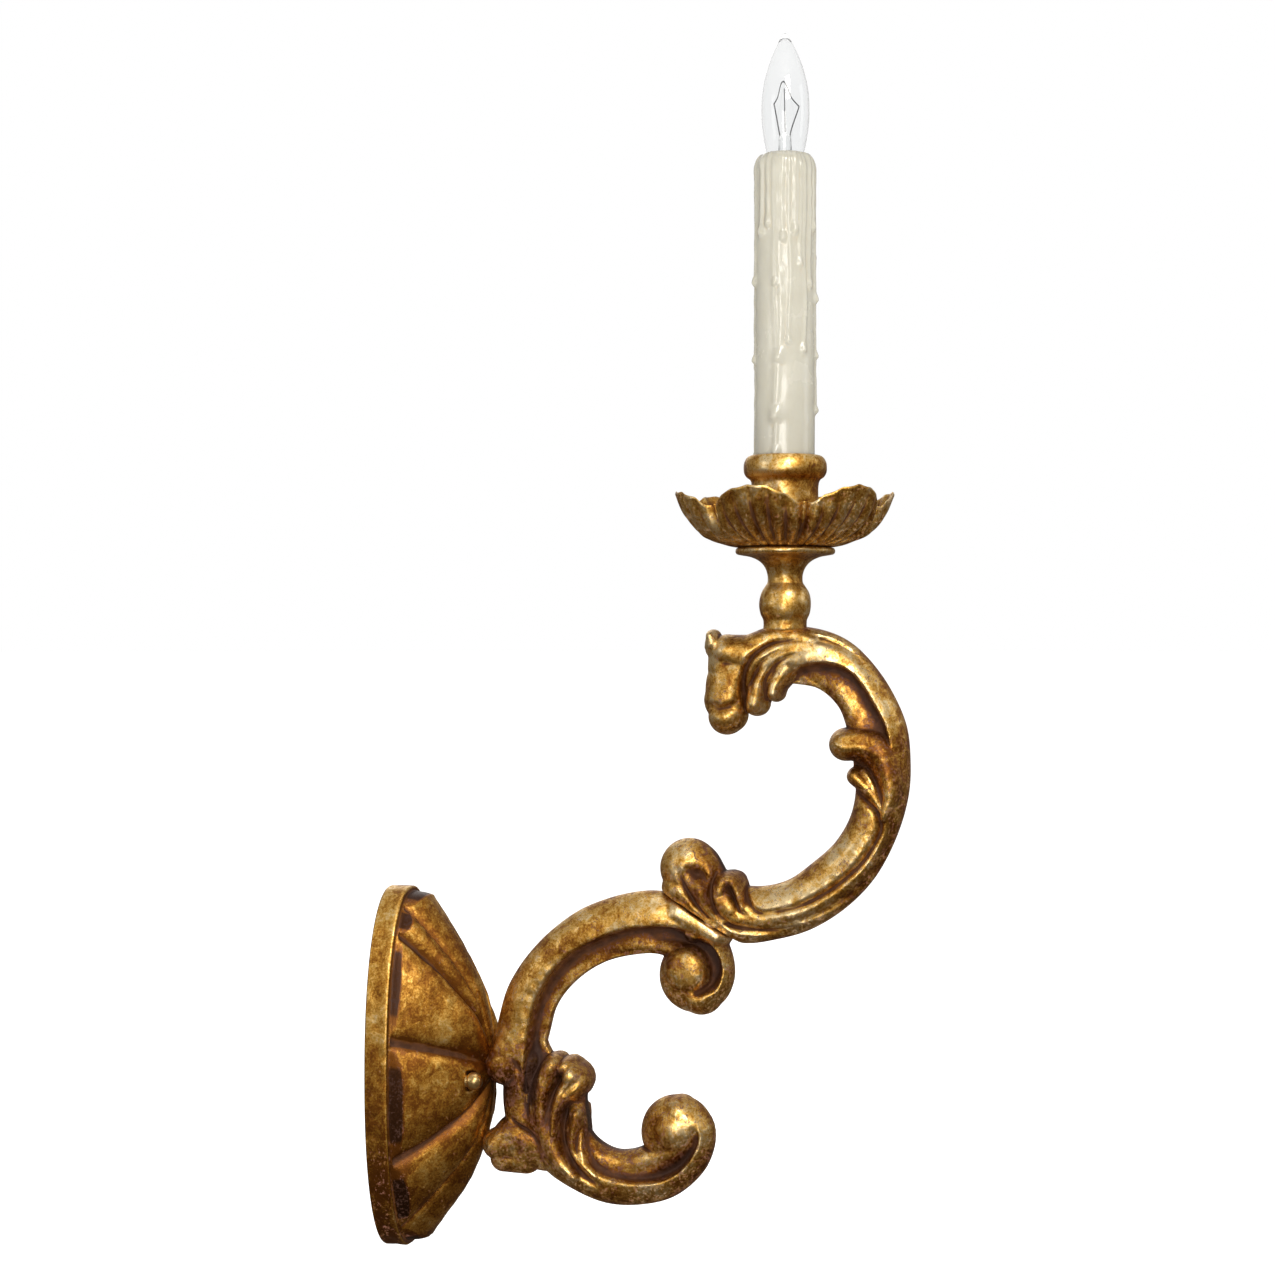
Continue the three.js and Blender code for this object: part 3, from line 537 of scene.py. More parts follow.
def surface_nets(f):
    """Points (in grid units) and outward quads of the surface f = 0, with f below 0 inside.

    The mirror from out to -Y in skin() turns the quads inside out, so they are reversed there.
    """
    inside = f < 0
    shape = np.array(f.shape) - 1
    corners = [(i, j, k) for i in (0, 1) for j in (0, 1) for k in (0, 1)]
    count = np.zeros(shape, np.int8)
    for i, j, k in corners:
        count += inside[i:i + shape[0], j:j + shape[1], k:k + shape[2]]
    cells = np.argwhere((count > 0) & (count < 8))
    index = np.full(shape, -1, np.int64)
    index[tuple(cells.T)] = np.arange(len(cells))
    total, hits = np.zeros((len(cells), 3)), np.zeros(len(cells))
    for axis in range(3):
        for corner in corners:
            if corner[axis]:
                continue
            start = cells + corner
            end = start + np.eye(3, dtype=int)[axis]
            fa, fb = f[tuple(start.T)], f[tuple(end.T)]
            crosses = (fa < 0) != (fb < 0)
            place = start.astype(float)
            place[:, axis] += fa / np.where(crosses, fa - fb, 1)
            total += place * crosses[:, None]
            hits += crosses
    points = total / hits[:, None]
    faces = []
    for axis in range(3):
        other = [(axis + 1) % 3, (axis + 2) % 3]
        near = inside.take(range(f.shape[axis] - 1), axis)
        far = inside.take(range(1, f.shape[axis]), axis)
        for flip in (False, True):
            edges = np.argwhere((near & ~far) if not flip else (~near & far))
            edges = edges[(edges[:, other[0]] > 0) & (edges[:, other[1]] > 0)]
            b, c = np.eye(3, dtype=int)[other[0]], np.eye(3, dtype=int)[other[1]]
            ring = [edges - b - c, edges - c, edges, edges - b]
            quad = np.stack([index[tuple(place.T)] for place in ring], 1)
            quad = quad[(quad >= 0).all(1)]
            faces.append(quad[:, ::-1] if flip else quad)
    return points, np.vstack(faces)


JOINT = ((150, 98.2), (192, 71.5))  # the line where the upper scroll is doweled to the lower one
DOWEL_COVER = ((167.6, 75.8), (189.4, 88.2), 2.6, 12)  # the two ends of the dowels, radius, half thickness


def lower_scroll():
    r = Relief((46, -76), (200, 106))
    r.add([[66, 4, 12.5], [73, 17, 14], [79.8, 39.6, 14], [93.2, 58, 14.2], [113.3, 72.6, 15.2],
        [136, 79.6, 16.2], [150, 80.2, 16.4], [163.5, 74.5, 15.2], [173, 65, 13.4], [176.5, 54, 12],
        [171, 45, 12]], 14.5)
    r.add([[168.4, 53.6, 19.6]], 13.2, flat=1.4)
    r.add([[78, 12, 10.4], [81.4, -2, 14.4], [90, -24, 17], [97, -38, 17], [108, -47.5, 15],
        [122, -53.2, 14.4], [136, -53.2, 14.6], [150.3, -48.5, 15.2], [162.8, -38.3, 13.6],
        [167, -27, 11], [160, -18, 9]], 14.2)
    r.add([[158.3, -28.5, 19.3]], 13.2, flat=1.4)
    r.cut([[77, -8, 0.8, 8, 5], [78, 3, 0.8, 9, 9], [79, 13, 0.9, 9, 10], [81.3, 28.5, 1, 9, 10],
        [86.2, 43.3, 1, 10, 10], [92.8, 54, 1, 10.5, 10.4], [103.6, 64.9, 1, 10.5, 10.4],
        [115.5, 71.5, 1, 10.5, 10.4], [130.5, 77.5, 1, 10.5, 10.6], [146.5, 80, 1, 10, 11],
        [160.3, 79.4, 1, 9, 11.4], [171.9, 75.6, 1, 7, 11.4], [179.2, 70.2, 1, 6, 11],
        [183.6, 62.3, 1, 5, 10], [184, 54.1, 1, 4.6, 9], [180.6, 47.2, 0.9, 4, 7],
        [172.9, 43.9, 0.8, 3, 2]], crest=3.2)
    r.add([[165.4, 56.8, 14]], 15.6, flat=1.7)
    r.cut([[150, 74, 5, 2], [162, 73.6, 4.5, 4, 5], [171.5, 70, 3.2, 3.4, 7.6], [177, 63.7, 2.6, 8.4],
        [178.2, 55.5, 2.4, 8], [174.6, 47.8, 2.2, 5.5], [168.5, 44.4, 2, 1]])
    r.cut([[108, -45, 4, 0.9, 0], [115.5, -49.3, 5, 0.9, 2.8], [125.2, -53, 7, 0.9, 4.6],
        [139.1, -54.3, 8, 0.9, 6], [151.8, -52.5, 7, 0.9, 8], [162.4, -46.7, 5.5, 0.9, 9],
        [169.2, -38.2, 4.4, 0.9, 8], [172.4, -29.8, 3, 0.9, 4], [171.5, -22, 2, 0.9, 0]], crest=-2.6)
    r.add([[158, -26.2, 14.6]], 16.4, blend=14)
    # the leaf on the lower scroll: its tip against the plate, two lobes, and a curled tail
    r.add([[76, 4, 10], [74.8, -8, 11], [75.2, -19, 11.2], [77, -31, 10.5]], 11, blend=10)
    r.add([[61, -39.5, 8.6], [71, -36.5, 14.2], [86, -36, 17]], 12)
    r.add([[64, -47, 7.5], [76, -46, 9]], 9)
    r.cut([[69, -22, 1.2, 0], [72, -25.5, 1.3, 3], [77, -28.5, 1.3, 3.4], [83, -32, 1.2, 2],
        [87, -38, 1, 0]])
    r.cut([[60, -33, 1.2, 0], [68, -32, 1.6, -0.9], [76, -33.8, 1.6, -0.9], [83, -40, 1.6, 0]])
    r.cut([[66, -43.5, 2.5, 0], [74, -42, 3, 1.5], [82, -43, 3, 0]])
    r.cut([[70, 10, 1, 0], [76, 2, 1.3, 1.6, 2.6], [78.2, -8, 1.4, 1.8, 3.6], [79, -18, 1.4, 1.6, 2.6],
        [81, -26, 1.2, 0]])
    r.add([[93, 4.4, 6], [90, -1.5, 7.4], [87.8, -9, 8], [88.2, -18, 8], [91, -30, 8.4], [96, -42, 8],
        [106, -52, 5]], 16.4, blend=6)
    r.add([[101, 2.5, 6.4], [104.6, -3.6, 8.6], [100, -9.5, 6.6], [96, -18, 4.6],
        [95, -30, 3.6]], 17.4, blend=6)
    r.add([[102.6, -9, 6.6], [103.8, -18, 5.9], [105, -26, 5.8]], 12.5)
    r.cut([[104, 7.5, 1.4, 1.5], [100, 2.6, 1.9, 4], [95.4, -4.6, 2, 5], [92.2, -13, 1.9, 3.6],
        [90.5, -24, 1.6, 1.8], [91, -34, 1.4, 0]])
    r.cut([[109.6, 0.6, 1.4, 0.4], [106.4, -3.4, 1.7, 2], [102, -7.4, 1.6, 1.8], [98.4, -13, 1.2, 0]])
    r.cut([[112, -13.2, 1.8, 0.6], [107.4, -14.2, 2.0, 3.4], [102.2, -15.4, 2.0, 5.6],
        [99.4, -23.1, 2, 2.2, 6.4], [99.6, -33.5, 2, 2.2, 6], [104.2, -43.7, 1.8, 2.2, 4.8],
        [111.6, -51.7, 1.6, 2.2, 3], [121.9, -57.3, 1.4, 2, 0]])
    r.add([[106.4, -19.6, 3.4], [106, -27.6, 5.2], [106.4, -37, 5.4], [111, -45.5, 4.4],
        [118, -51.5, 2.2]], 15.4, blend=6)
    r.cut([[110, -22.5, 1.2, 0], [108.6, -27.5, 1.7, 1.4, 3.4], [107, -33.6, 1.9, 1.5, 4.4],
        [107.4, -39.4, 1.8, 1.4, 3.2], [110.5, -44, 1.2, 0]])
    r.cut([[111.6, -28, 1.4, 1.4], [112.6, -37, 1.6, 2.4], [117, -45, 1.6, 1.6], [125, -50, 1.2, 0]])
    r.add([[160, 86, 9], [172, 80, 8.6], [181, 75, 6.6]], 14.2, blend=14)
    r.cover(*DOWEL_COVER)
    r.trim(*JOINT, -1)
    r.uneven(7)
    return r.skin()


def upper_scroll():
    r = Relief((140, 58), (290, 246))
    r.add([[185, 222, 9], [199, 219, 12.5], [216.5, 220.6, 14.8], [238.6, 216.2, 14.6],
        [254.2, 201.6, 13.8], [263, 181.3, 15], [265.2, 165, 14.6], [265.2, 149.5, 13.5],
        [261, 133, 12.9], [252, 116.3, 13.5], [239.2, 103, 14.3], [224.2, 92.5, 14], [209, 87.4, 14],
        [192, 86, 14.8], [178, 90, 12]], 14.5)
    r.add([[186, 220, 9], [179.4, 224.6, 6.6], [177.4, 230.2, 3.4]], 12, blend=12)
    r.add([[184, 214, 9.5], [183, 222, 8]], 12, blend=10)
    r.cut([[210, 203, 2, 3, 0], [218.8, 210.4, 0.9, 6, 5], [224, 214.6, 1, 8.5, 8.5],
        [232.2, 216.8, 1, 10.5, 10.2], [243.5, 215.8, 1, 11, 10.8], [251.6, 211.6, 1, 11, 10.8],
        [257.7, 204.5, 1, 11, 10.4], [262.6, 196.4, 1, 11, 10], [267.6, 187.4, 1, 10, 9],
        [270.5, 178, 0.8, 8, 6], [272, 168, 0.8, 6, 0]], crest=3.2)
    r.cut([[211, 229.8, 1.2, 1.4, 0], [221, 230, 1.2, 1.6, 2.4], [232, 229.2, 1.2, 1.8, 3.2],
        [241.4, 226.8, 1.2, 1.8, 3], [251.6, 221, 1.2, 1.6, 2], [260, 211, 1.2, 1.4, 0.9],
        [268, 198, 1, 0]])
    # the leaf end of the upper scroll
    r.add([[200, 217, 11], [188.5, 208.5, 13.6], [184.6, 197, 12]], 13.6, blend=10)
    r.add([[186, 189.4, 9.6], [184.6, 188.4, 9.6]], 13.4, blend=6)
    r.add([[209, 215, 7], [202.6, 204, 6.6], [200.6, 195.4, 6.8]], 13.6, blend=5)
    r.add([[217, 213.5, 7], [211.6, 205, 5.4], [210.6, 200.6, 4.6]], 13.8, blend=5)
    r.cut([[195.4, 193, 1.2, 1.4, 3.6], [194.6, 200.1, 1.4, 1.6, 4.6], [195, 208.3, 1.4, 1.8, 4.8],
        [197.4, 215.5, 1.4, 1.8, 4.4], [202.2, 221.6, 1.3, 1.7, 4], [209.5, 226, 1.2, 1.6, 3.4],
        [217.7, 228.4, 1.2, 1.5, 2.4], [226, 229.6, 1, 1.2, 0]])
    r.cut([[206, 193, 1.2, 3.4], [205.8, 200, 1.3, 3.6], [206.4, 207.3, 1.3, 3.2], [211, 214, 1.2, 2.2],
        [219, 219.4, 1.2, 1.2], [229, 222, 1, 0]])
    r.cut([[198.8, 198, 1, 0], [199.4, 205, 1.1, 1.7], [202.2, 212.5, 1.1, 1.7], [208.8, 219.4, 1.1, 1.4],
        [219, 224.4, 1, 0]])
    r.cut([[173, 195.5, 1.8, 2.6, 1.2], [179.5, 193.9, 1.8, 2.8, 1.9], [185, 193.2, 1.8, 2.8, 1.9],
        [190, 195, 1.6, 2.2, 1.4], [193, 199, 1.2, 1.4, 0.6]])
    r.cut([[172, 220.5, 1.6, 2.2, 0.8], [177.4, 222.4, 1.8, 2.6, 1.2], [184, 226, 1.8, 2.2, 0.8],
        [192, 228, 1.4, 1.6, 0]])
    # the leaf half way up, its lip over a recess, and the tail of it along the band
    r.add([[246.8, 174.6, 8.6], [256, 175, 9.3], [265, 170.5, 9.8], [269.4, 160, 8.6], [270.4, 148, 6.4],
        [267, 138, 3.4]], 16.8, blend=6)
    r.cut([[241.5, 177.5, 1.6, 0], [248, 177, 2.4, 1.2], [257, 177, 2.8, 1.6], [264, 173, 2.4, 0]])
    r.cut([[246, 162.8, 1.4, 1.2, 3.6], [252, 164.6, 2, 1.4, 5.4], [258, 163, 2.4, 1.2, 6],
        [262.4, 157.4, 2.2, 1, 4.6], [265.4, 150, 1.4, 1, 2], [266.4, 143, 1, 0]])
    r.add([[252.6, 158.4, 5.2], [258.6, 153.2, 5.2], [264, 146, 4.6], [267, 137, 3]], 15.0, blend=7)
    r.cut([[246, 156, 1.3, 1.6, 1.6], [252, 151.4, 1.3, 1.8, 2.6], [259, 146.2, 1.3, 1.8, 3.2],
        [264.4, 140.8, 1.3, 1.6, 3.6], [266.2, 133, 1.3, 1.6, 3], [262.6, 124, 1.3, 1.8, 3],
        [257, 115.4, 1.4, 2, 3.2], [249.6, 108, 1.4, 2, 3], [237.3, 98.6, 1.4, 2, 2.8],
        [222.9, 91.6, 1.4, 2, 2.2], [208.5, 88.6, 1.3, 1.6, 1.4], [198, 89.4, 1, 0]])
    r.cut([[270.6, 140, 1.2, 1.4, 0], [270.8, 130, 1.4, 1.6, 2.2], [266, 117.5, 1.6, 2.2, 3.2],
        [258.2, 106, 1.8, 2.4, 3.4], [246, 95.6, 1.6, 2.2, 2.8], [232, 87.4, 1.4, 2, 2],
        [218, 83.4, 1.3, 1.6, 1.2], [206, 82, 1, 0]])
    # the bud over the joint, its hollow and tongue, and a second curl beside it
    r.add([[170, 92, 9], [186, 84, 9]], 14.2, blend=14)
    r.add([[176, 92, 10], [160.5, 99, 10.5]], 13.6)
    r.add([[188, 90, 12], [176, 98, 13], [167.4, 107, 15.6], [164.8, 109.2, 15.6]], 15.4)
    r.cut([[160.3, 112, 1.6, 0], [163.5, 104.5, 1.6, 1.5, 2.2], [168, 95.6, 1.5, 3.4],
        [173.5, 88.6, 1.4, 3], [181, 81.5, 1.2, 1.6], [190, 76, 1, 0]])
    r.cut([[167.4, 108.6, 3, 3.4], [171.5, 107, 3.6, 6], [175.4, 104, 2.6, 4.4]])
    r.cut([[173, 103.4, 1.9, -1.6], [173.6, 97, 2.3, -2.6], [175, 90.8, 2, -1.6], [178, 86, 1.6, 0]])
    r.cut([[180.4, 108, 1.2, 1.4, 3.4], [178.6, 102, 1.4, 1.5, 5], [178.8, 95, 1.4, 1.6, 4.6],
        [181.6, 87.4, 1.5, 1.8, 4.6], [187.6, 81.9, 1.6, 2.2, 4.8], [198.1, 79.7, 1.6, 2.4, 4],
        [212.6, 79.4, 1.5, 2.2, 2.8], [227.1, 82.4, 1.2, 1.6, 0]])
    r.add([[183, 98, 5.6], [184.6, 103, 5.2], [189, 103.4, 5], [192.4, 97, 4.4],
        [195, 90, 3]], 15.6, blend=5)
    r.cut([[187.6, 103.4, 1.2, 1.3, 1.6], [189, 99.6, 1.6, 1.7, 4.4], [190.6, 95.4, 1.7, 4.6],
        [193, 90.4, 1.3, 2.4], [198, 86, 1, 0]])
    r.cut([[193.5, 103.5, 1.2, 1.6, 1.6], [196.6, 97, 1.2, 1.8, 2.6], [201, 90.4, 1.2, 1.6, 1.8],
        [209, 86, 1, 1.2, 0]])
    # the seat under the stem
    r.add([[CANDLE_OUT - 16, 226.4, 5.4], [CANDLE_OUT - 6, 229.3, 6], [CANDLE_OUT + 6, 229.3, 6],
        [CANDLE_OUT + 16, 226.4, 5.4]], 12, blend=24)
    r.cover(*DOWEL_COVER)
    r.trim(*JOINT, 1)
    r.uneven(19)
    return r.skin()


# ---- shapes on a grid of rings ----
def ringed(rings, first=None, last=None, loop=False):
    """Points and faces over rings (ring, column, xyz), with a tip at each end or closed on itself."""
    count, columns = rings.shape[:2]
    points = [rings.reshape(-1, 3)]
    grid = np.arange(count * columns).reshape(count, columns)
    if loop:
        grid = np.vstack([grid, grid[:1]])
    turn = np.hstack([grid, grid[:, :1]])
    quads = [turn[:-1, :-1], turn[:-1, 1:], turn[1:, 1:], turn[1:, :-1]]
    faces = [np.stack(quads, -1).reshape(-1, 4)]
    for tip, edge in ((first, turn[0][::-1]), (last, turn[-1])):
        if tip is not None:
            index = np.full(columns, sum(len(p) for p in points))
            points.append(np.array([tip], float))
            faces.append(np.stack([edge[:-1], edge[1:], index, index], 1))
    return np.vstack(points), np.vstack(faces)


def round_axis(radius, angle, up):
    """Rings about +Z, one for each row of the radii or heights."""
    return np.stack([radius * np.cos(angle), radius * np.sin(angle), up + 0 * angle], -1)


def turned(profile, columns=96, step=0.7, x=0.0, out=CANDLE_OUT, seed=None, axis="Z"):
    """A closed solid turned about +Z from [radius, up], anticlockwise, with tool marks if seeded.

    With the axis "Y" it is turned about the way out of the wall, and out is its height.
    """
    path = spline(profile, step) if step else np.array(profile, float)
    loop = path[0, 0] > 0.01
    body = path[:-1] if loop else path[1:-1]
    radius, up = body[:, :1], body[:, 1:2]
    rings = round_axis(radius, circle(columns), up)
    if seed is not None:
        swell = 0.16 * wobble(rings, 22, seed) + 0.06 * wobble(rings, 6, seed + 1)
        rings[..., :2] *= 1 + (swell / np.maximum(radius, 4))[..., None]
    ends = (None, None) if loop else ((0, 0, path[0, 1]), (0, 0, path[-1, 1]))
    points, faces = ringed(rings, *ends, loop=loop)
    if axis == "Y":
        points = np.stack([points[:, 0], -points[:, 2], points[:, 1]], 1)
        return points + np.array([x, 0, out]), faces
    return points + np.array([x, -out, 0]), faces


def tube(path, radius, sides=8):
    """A round wire along a path of points in mm, with bluntly pointed ends."""
    p = np.array(path, float)
    tangent = np.gradient(p, axis=0)
    tangent /= np.linalg.norm(tangent, axis=1)[:, None]
    side = np.cross(tangent[0], (0.3, 1, 0.2))
    angle = circle(sides)[:, None]
    rings = []
    for place, along in zip(p, tangent):
        side = side - along * (side @ along)
        side = side / np.linalg.norm(side)
        other = np.cross(along, side)
        rings.append(place + radius * (np.cos(angle) * side + np.sin(angle) * other))
    tip = tangent * radius * 0.5
    return ringed(np.array(rings), p[0] - tip[0], p[-1] + tip[-1])


# ---- backplate ----
PLATE_WIDE, PLATE_HIGH = 41, 96  # its half sizes
VALLEYS = [-60, -26, 9.6, 50, 66, 114, 130, 170.4, 206, 240, 300]  # degrees up from +X
# how far the lobe after each valley swells at the rim, and half way in
LOBE_ENDS = [6.5, 7.2, 2.8, 5, 8, 5, 2.8, 7.2, 6.5, 8]
LOBE_MIDDLES = [3.4, 3.0, 5.0, 2.4, 2.2, 2.4, 5.0, 3.0, 3.4, 3.0]
# the ball nuts stand in flat round recesses: their places, how far out the flat is, its radius
NUT_SIDE, NUT_UP, NUT_SEAT, NUT_RECESS = 20, -3.3, 49.0, 5.6


def backplate():
    """The lobed plate: rings of a fullish oval, each at a fraction of its size and a distance out."""
    columns = 540
    degrees = np.arange(columns) * 360 / columns - 60
    radians = np.radians(degrees)
    power = 2 / 2.25
    across = PLATE_WIDE * np.sign(np.cos(radians)) * np.abs(np.cos(radians)) ** power
    height = PLATE_HIGH * np.sign(np.sin(radians)) * np.abs(np.sin(radians)) ** power
    lobe = np.clip(np.searchsorted(VALLEYS, degrees, "right") - 1, 0, 9)
    start, end = np.array(VALLEYS)[lobe], np.array(VALLEYS)[lobe + 1]
    swell = (1 - (2 * unit(((degrees - start) / (end - start) - 0.03) / 0.94) - 1) ** 2) ** 0.8
    from_valley = np.radians(np.minimum(degrees - start, end - degrees))
    rows, aged = [], []

    def add_ring(fraction, out, shade_wear):
        rows.append(np.stack([across * fraction, -out + 0 * across, height * fraction], -1))
        aged.append(shade_wear + 0 * across)

    for f in np.concatenate([np.linspace(0.02, 0.92, 62), np.linspace(0.925, 0.972, 24)]):
        dome = 12.6 + 46.4 * (1 - (f / 0.982) ** 1.93)
        inner = min(1.0, f * 2.2)
        edge = unit((0.968 - f) / 0.016) ** 0.45
        lift = np.array(LOBE_ENDS)[lobe] * f**3
        lift = lift + np.array(LOBE_MIDDLES)[lobe] * (4 * f * (1 - f)) * inner
        valley = from_valley * f * 62
        # Painted shade: the lens-shaped walls at the rim ends of the lobes and the floors of the valleys
        # are marked dark.
        walled = unit((f - 0.95) / 0.006) * unit(swell * 1.4)
        shade_wear = np.maximum(0.95 * walled, 0.55 * inner * bell(valley, 2.4))
        add_ring(f, dome + lift * swell * edge - 2.2 * inner * edge * bell(valley, 2.0), shade_wear)
    front = len(rows)
    # The rim face is marked with painted shade where it meets the walls.
    for f, out, shade_wear in ((0.976, 12.2, 0.7), (0.984, 12.3, 0.45), (0.991, 12.2, 0.1), (0.997, 11.9, 0)):
        add_ring(f, out, shade_wear)
    # Painted shade on the lower half of the rim side near the camera and on the upper far side, and
    # painted light on the near side from a little below the middle up.
    level = height / PLATE_HIGH
    left = across < 0
    below = unit((-level - 0.12) * 3) * left + unit((level - 0.6) * 2) * (across > 0)
    wall_shade = 0.6 * below - 0.35 * np.clip(level + 0.25, 0, 0.5) * left
    for out in (11.2, 9.6, 8, 6.4, 4.8, 3.2, 1.6, 0.7):
        add_ring(1.0, out, wall_shade)
    # The back, against the wall, is marked dark too.
    for f, out in ((0.997, 0.2), (0.99, 0), (0.935, 0), (0.884, 0), (0.88, 0.3)):
        add_ring(f, out, 0.9)
    for f in (0.87, 0.8, 0.72, 0.64, 0.56, 0.48, 0.4, 0.32, 0.2, 0.1):
        add_ring(f, min(44.0, 12 + 47 * (1 - f**2) - 7), 0.9)
    rings = np.array(rows)
    index = np.arange(len(rings))[:, None]
    rings[..., 1] -= (0.35 * wobble(rings, 24, 31) + 0.12 * wobble(rings, 6, 32)) * (index < front)
    chipped = np.clip(wobble(rings, 9, 33), 0, 2) * ((index >= front + 2) & (index < front + 12))
    rings[..., ::2] *= (1 - 0.004 * chipped)[..., None]
    for x in (-NUT_SIDE, NUT_SIDE):
        gap = np.hypot(rings[..., 0] - x, rings[..., 2] - NUT_UP)
        share = unit((NUT_RECESS - gap) / 0.7) * (index < front)
        y = rings[..., 1]
        rings[..., 1] = np.where(y < -NUT_SEAT, y + (-NUT_SEAT - y) * share, y)
    points, faces = ringed(rings[:, ::-1], (0, -59, 0), (0, -44, 0))
    return points, faces, np.append(np.array(aged)[:, ::-1].ravel(), [0, 0.9])


# ---- bobeche ----
def bobeche():
    """The dish of six petals: a shell between an under and an upper skin, each folded and split."""
    bottom = 275.8
    first_petal = math.radians(-68.5)
    angle = circle(576) + first_petal
    phase = 3 * (angle - first_petal)
    middle = np.sqrt(np.cos(phase) ** 2 + 0.004) ** 0.85
    bowl = spline([[9, 0, 0], [20, 0, 0], [27, 0.4, 0.02], [33, 2, 0.1], [40, 5.2, 0.32],
                   [47.5, 10.6, 0.62], [53.5, 18.4, 0.9], [57.2, 27.6, 1]], 0.8)
    share = np.linspace(0, 1, len(bowl))[:, None]
    place = ((phase / math.pi + 0.5) % 1) * 2 - 1
    folds = sum(bell(place - at, 0.085) for at in (-0.66, -0.36, -0.04, 0.28, 0.62))
    split = bell(np.abs(place) - 1, 0.10)

    def shell(rows, rise, back, deep):
        radius, height, petal = rows[:, :1], rows[:, 1:2], np.maximum(rows[:, 2:3], 0)
        reach = 1 - 0.17 * (1 - middle) * petal
        sunk = (1 - middle) * petal**1.3 * 12.5
        run = unit(share * 4 - 0.9) * (1 - 0.72 * unit((share - 0.7) / 0.3))
        groove = deep * (folds * run * 0.75 + split * unit(share * 3 - 0.8) * 1.3)
        wide = radius * reach - back + groove * -0.55
        return round_axis(wide, angle, bottom + height - sunk + rise + groove * 0.8)

    under = shell(bowl, 0, 0, 4.2)
    over = shell(bowl, 2.3, 0.6, 2.6)[::-1]
    thin = np.linspace(1, 0, len(bowl))[:, None, None] ** 0.6
    over = under[::-1] + (over - under[::-1]) * (0.45 + 0.55 * thin[::-1])
    lip = (under[-1] + over[0]) / 2
    lip[:, 2] += 0.35
    rings = np.concatenate([under, lip[None], over])
    uneven = 0.45 * wobble(rings, 24, 41) + 0.14 * wobble(rings, 7, 42)
    rings[..., 2] += uneven * unit(np.hypot(rings[..., 0], rings[..., 1]) / 40 - 0.6)
    points, faces = ringed(rings, loop=True)
    return points + np.array([0, -CANDLE_OUT, 0]), faces


# ---- candle sleeve ----
DRIPS = [  # [degrees right of the camera's side, where it ends, how wide, how thick]
    [-52, 437, 2.4, 1.3], [-36, 441.5, 2, 1.1], [-22, 410, 2.2, 1.2], [-6, 433, 2.2, 1.1],
    [-12, 372, 3.4, 1.3], [8, 380, 1.8, 0.9], [20, 437, 2.6, 1.3], [32, 420, 1.9, 1],
    [40, 376, 2, 1.2], [56, 410, 2.2, 1.2], [-78, 412, 2.4, 1.5], [-84, 372, 2, 1.4],
    [82, 403, 2.4, 1.5], [86, 374, 2, 1.4], [-18, 342, 3.6, 1.5], [84, 346, 2, 1.5],
    [-16, 323.5, 2.4, 1.3], [-86, 322, 1.8, 1.2], [70, 440, 2.4, 1.2],
]
CAMERA_SIDE = math.radians(190)
SLEEVE_FOOT, SHOULDER_UP, SHOULDER = 306.3, 470, 8.5
SLEEVE_RADIUS, DRIP_RADIUS = 15.3, 15.8
SLEEVE_BORE = [[10.6, 478.6], [10.3, 478], [10.3, 472.5], [13.1, 468.5], [13.1, 440], [13.1, 400],
               [13.1, 350], [13.1, SLEEVE_FOOT]]


def sleeve():
    """The tube of wax, with the drips in DRIPS on the camera's side and seeded ones on the far side."""
    angle = circle(288)
    rounding = np.sin(np.linspace(0.05, 1, 18) * math.pi / 2)
    up = np.concatenate([
        np.linspace(SLEEVE_FOOT, SHOULDER_UP, 330), SHOULDER_UP + SHOULDER * rounding])[:, None]
    shoulder = unit((up - SHOULDER_UP) / SHOULDER)
    radius = SLEEVE_RADIUS - 4.8 * (1 - np.sqrt(unit(1 - shoulder**2)))
    draw = np.random.default_rng(5)
    drips = [[math.radians(a) + CAMERA_SIDE, end, wide, 1.35 * thick] for a, end, wide, thick in DRIPS]
    for k in range(24):
        drips.append([CAMERA_SIDE + math.radians(96 + k * 7.2 + draw.uniform(-3, 3)),
                      draw.uniform(330, 448), draw.uniform(1.8, 2.8), draw.uniform(0.9, 1.4)])
    add = 0 * (up + angle)
    for where, end, wide, thick in drips:
        sway = 0.05 * np.sin(up / draw.uniform(9, 16) + draw.uniform(0, 6)) * unit((478 - up) / 60)
        gap = (angle - where - sway + math.pi) % (2 * math.pi) - math.pi
        gap = gap * DRIP_RADIUS
        above = up - end
        stream = unit((above + wide * 0.4) / 1.6)
        tall = np.where(above > 0, wide * 1.9, wide * 0.9)
        blob = np.exp(-(np.abs(gap) / (wide * 0.85)) ** 2 - (above / tall) ** 2)
        thin = 0.34 + 0.2 * np.exp(-above.clip(0) / 25)
        band = bell(gap, wide * 0.62) * stream * thin * thick
        add = np.maximum(add, np.maximum(band, blob * thick * 1.05))
    grid = np.stack(np.broadcast_arrays(angle * DRIP_RADIUS, up), -1)
    skin = 0.10 * wobble(grid, 13, 51) * np.clip((up - 306) / 60, 0.15, 1)
    melt = unit((up - 440) / 38) * 0.35
    wide = radius + add * (1 - 0.7 * shoulder**3) + skin + melt * (0.5 + 0.5 * wobble(grid, 8, 52))
    bore = np.array(SLEEVE_BORE)
    rings = [round_axis(wide, angle, up), round_axis(bore[:, :1], angle, bore[:, 1:])]
    points, faces = ringed(np.concatenate(rings), loop=True)
    return points + np.array([0, -CANDLE_OUT, 0]), faces


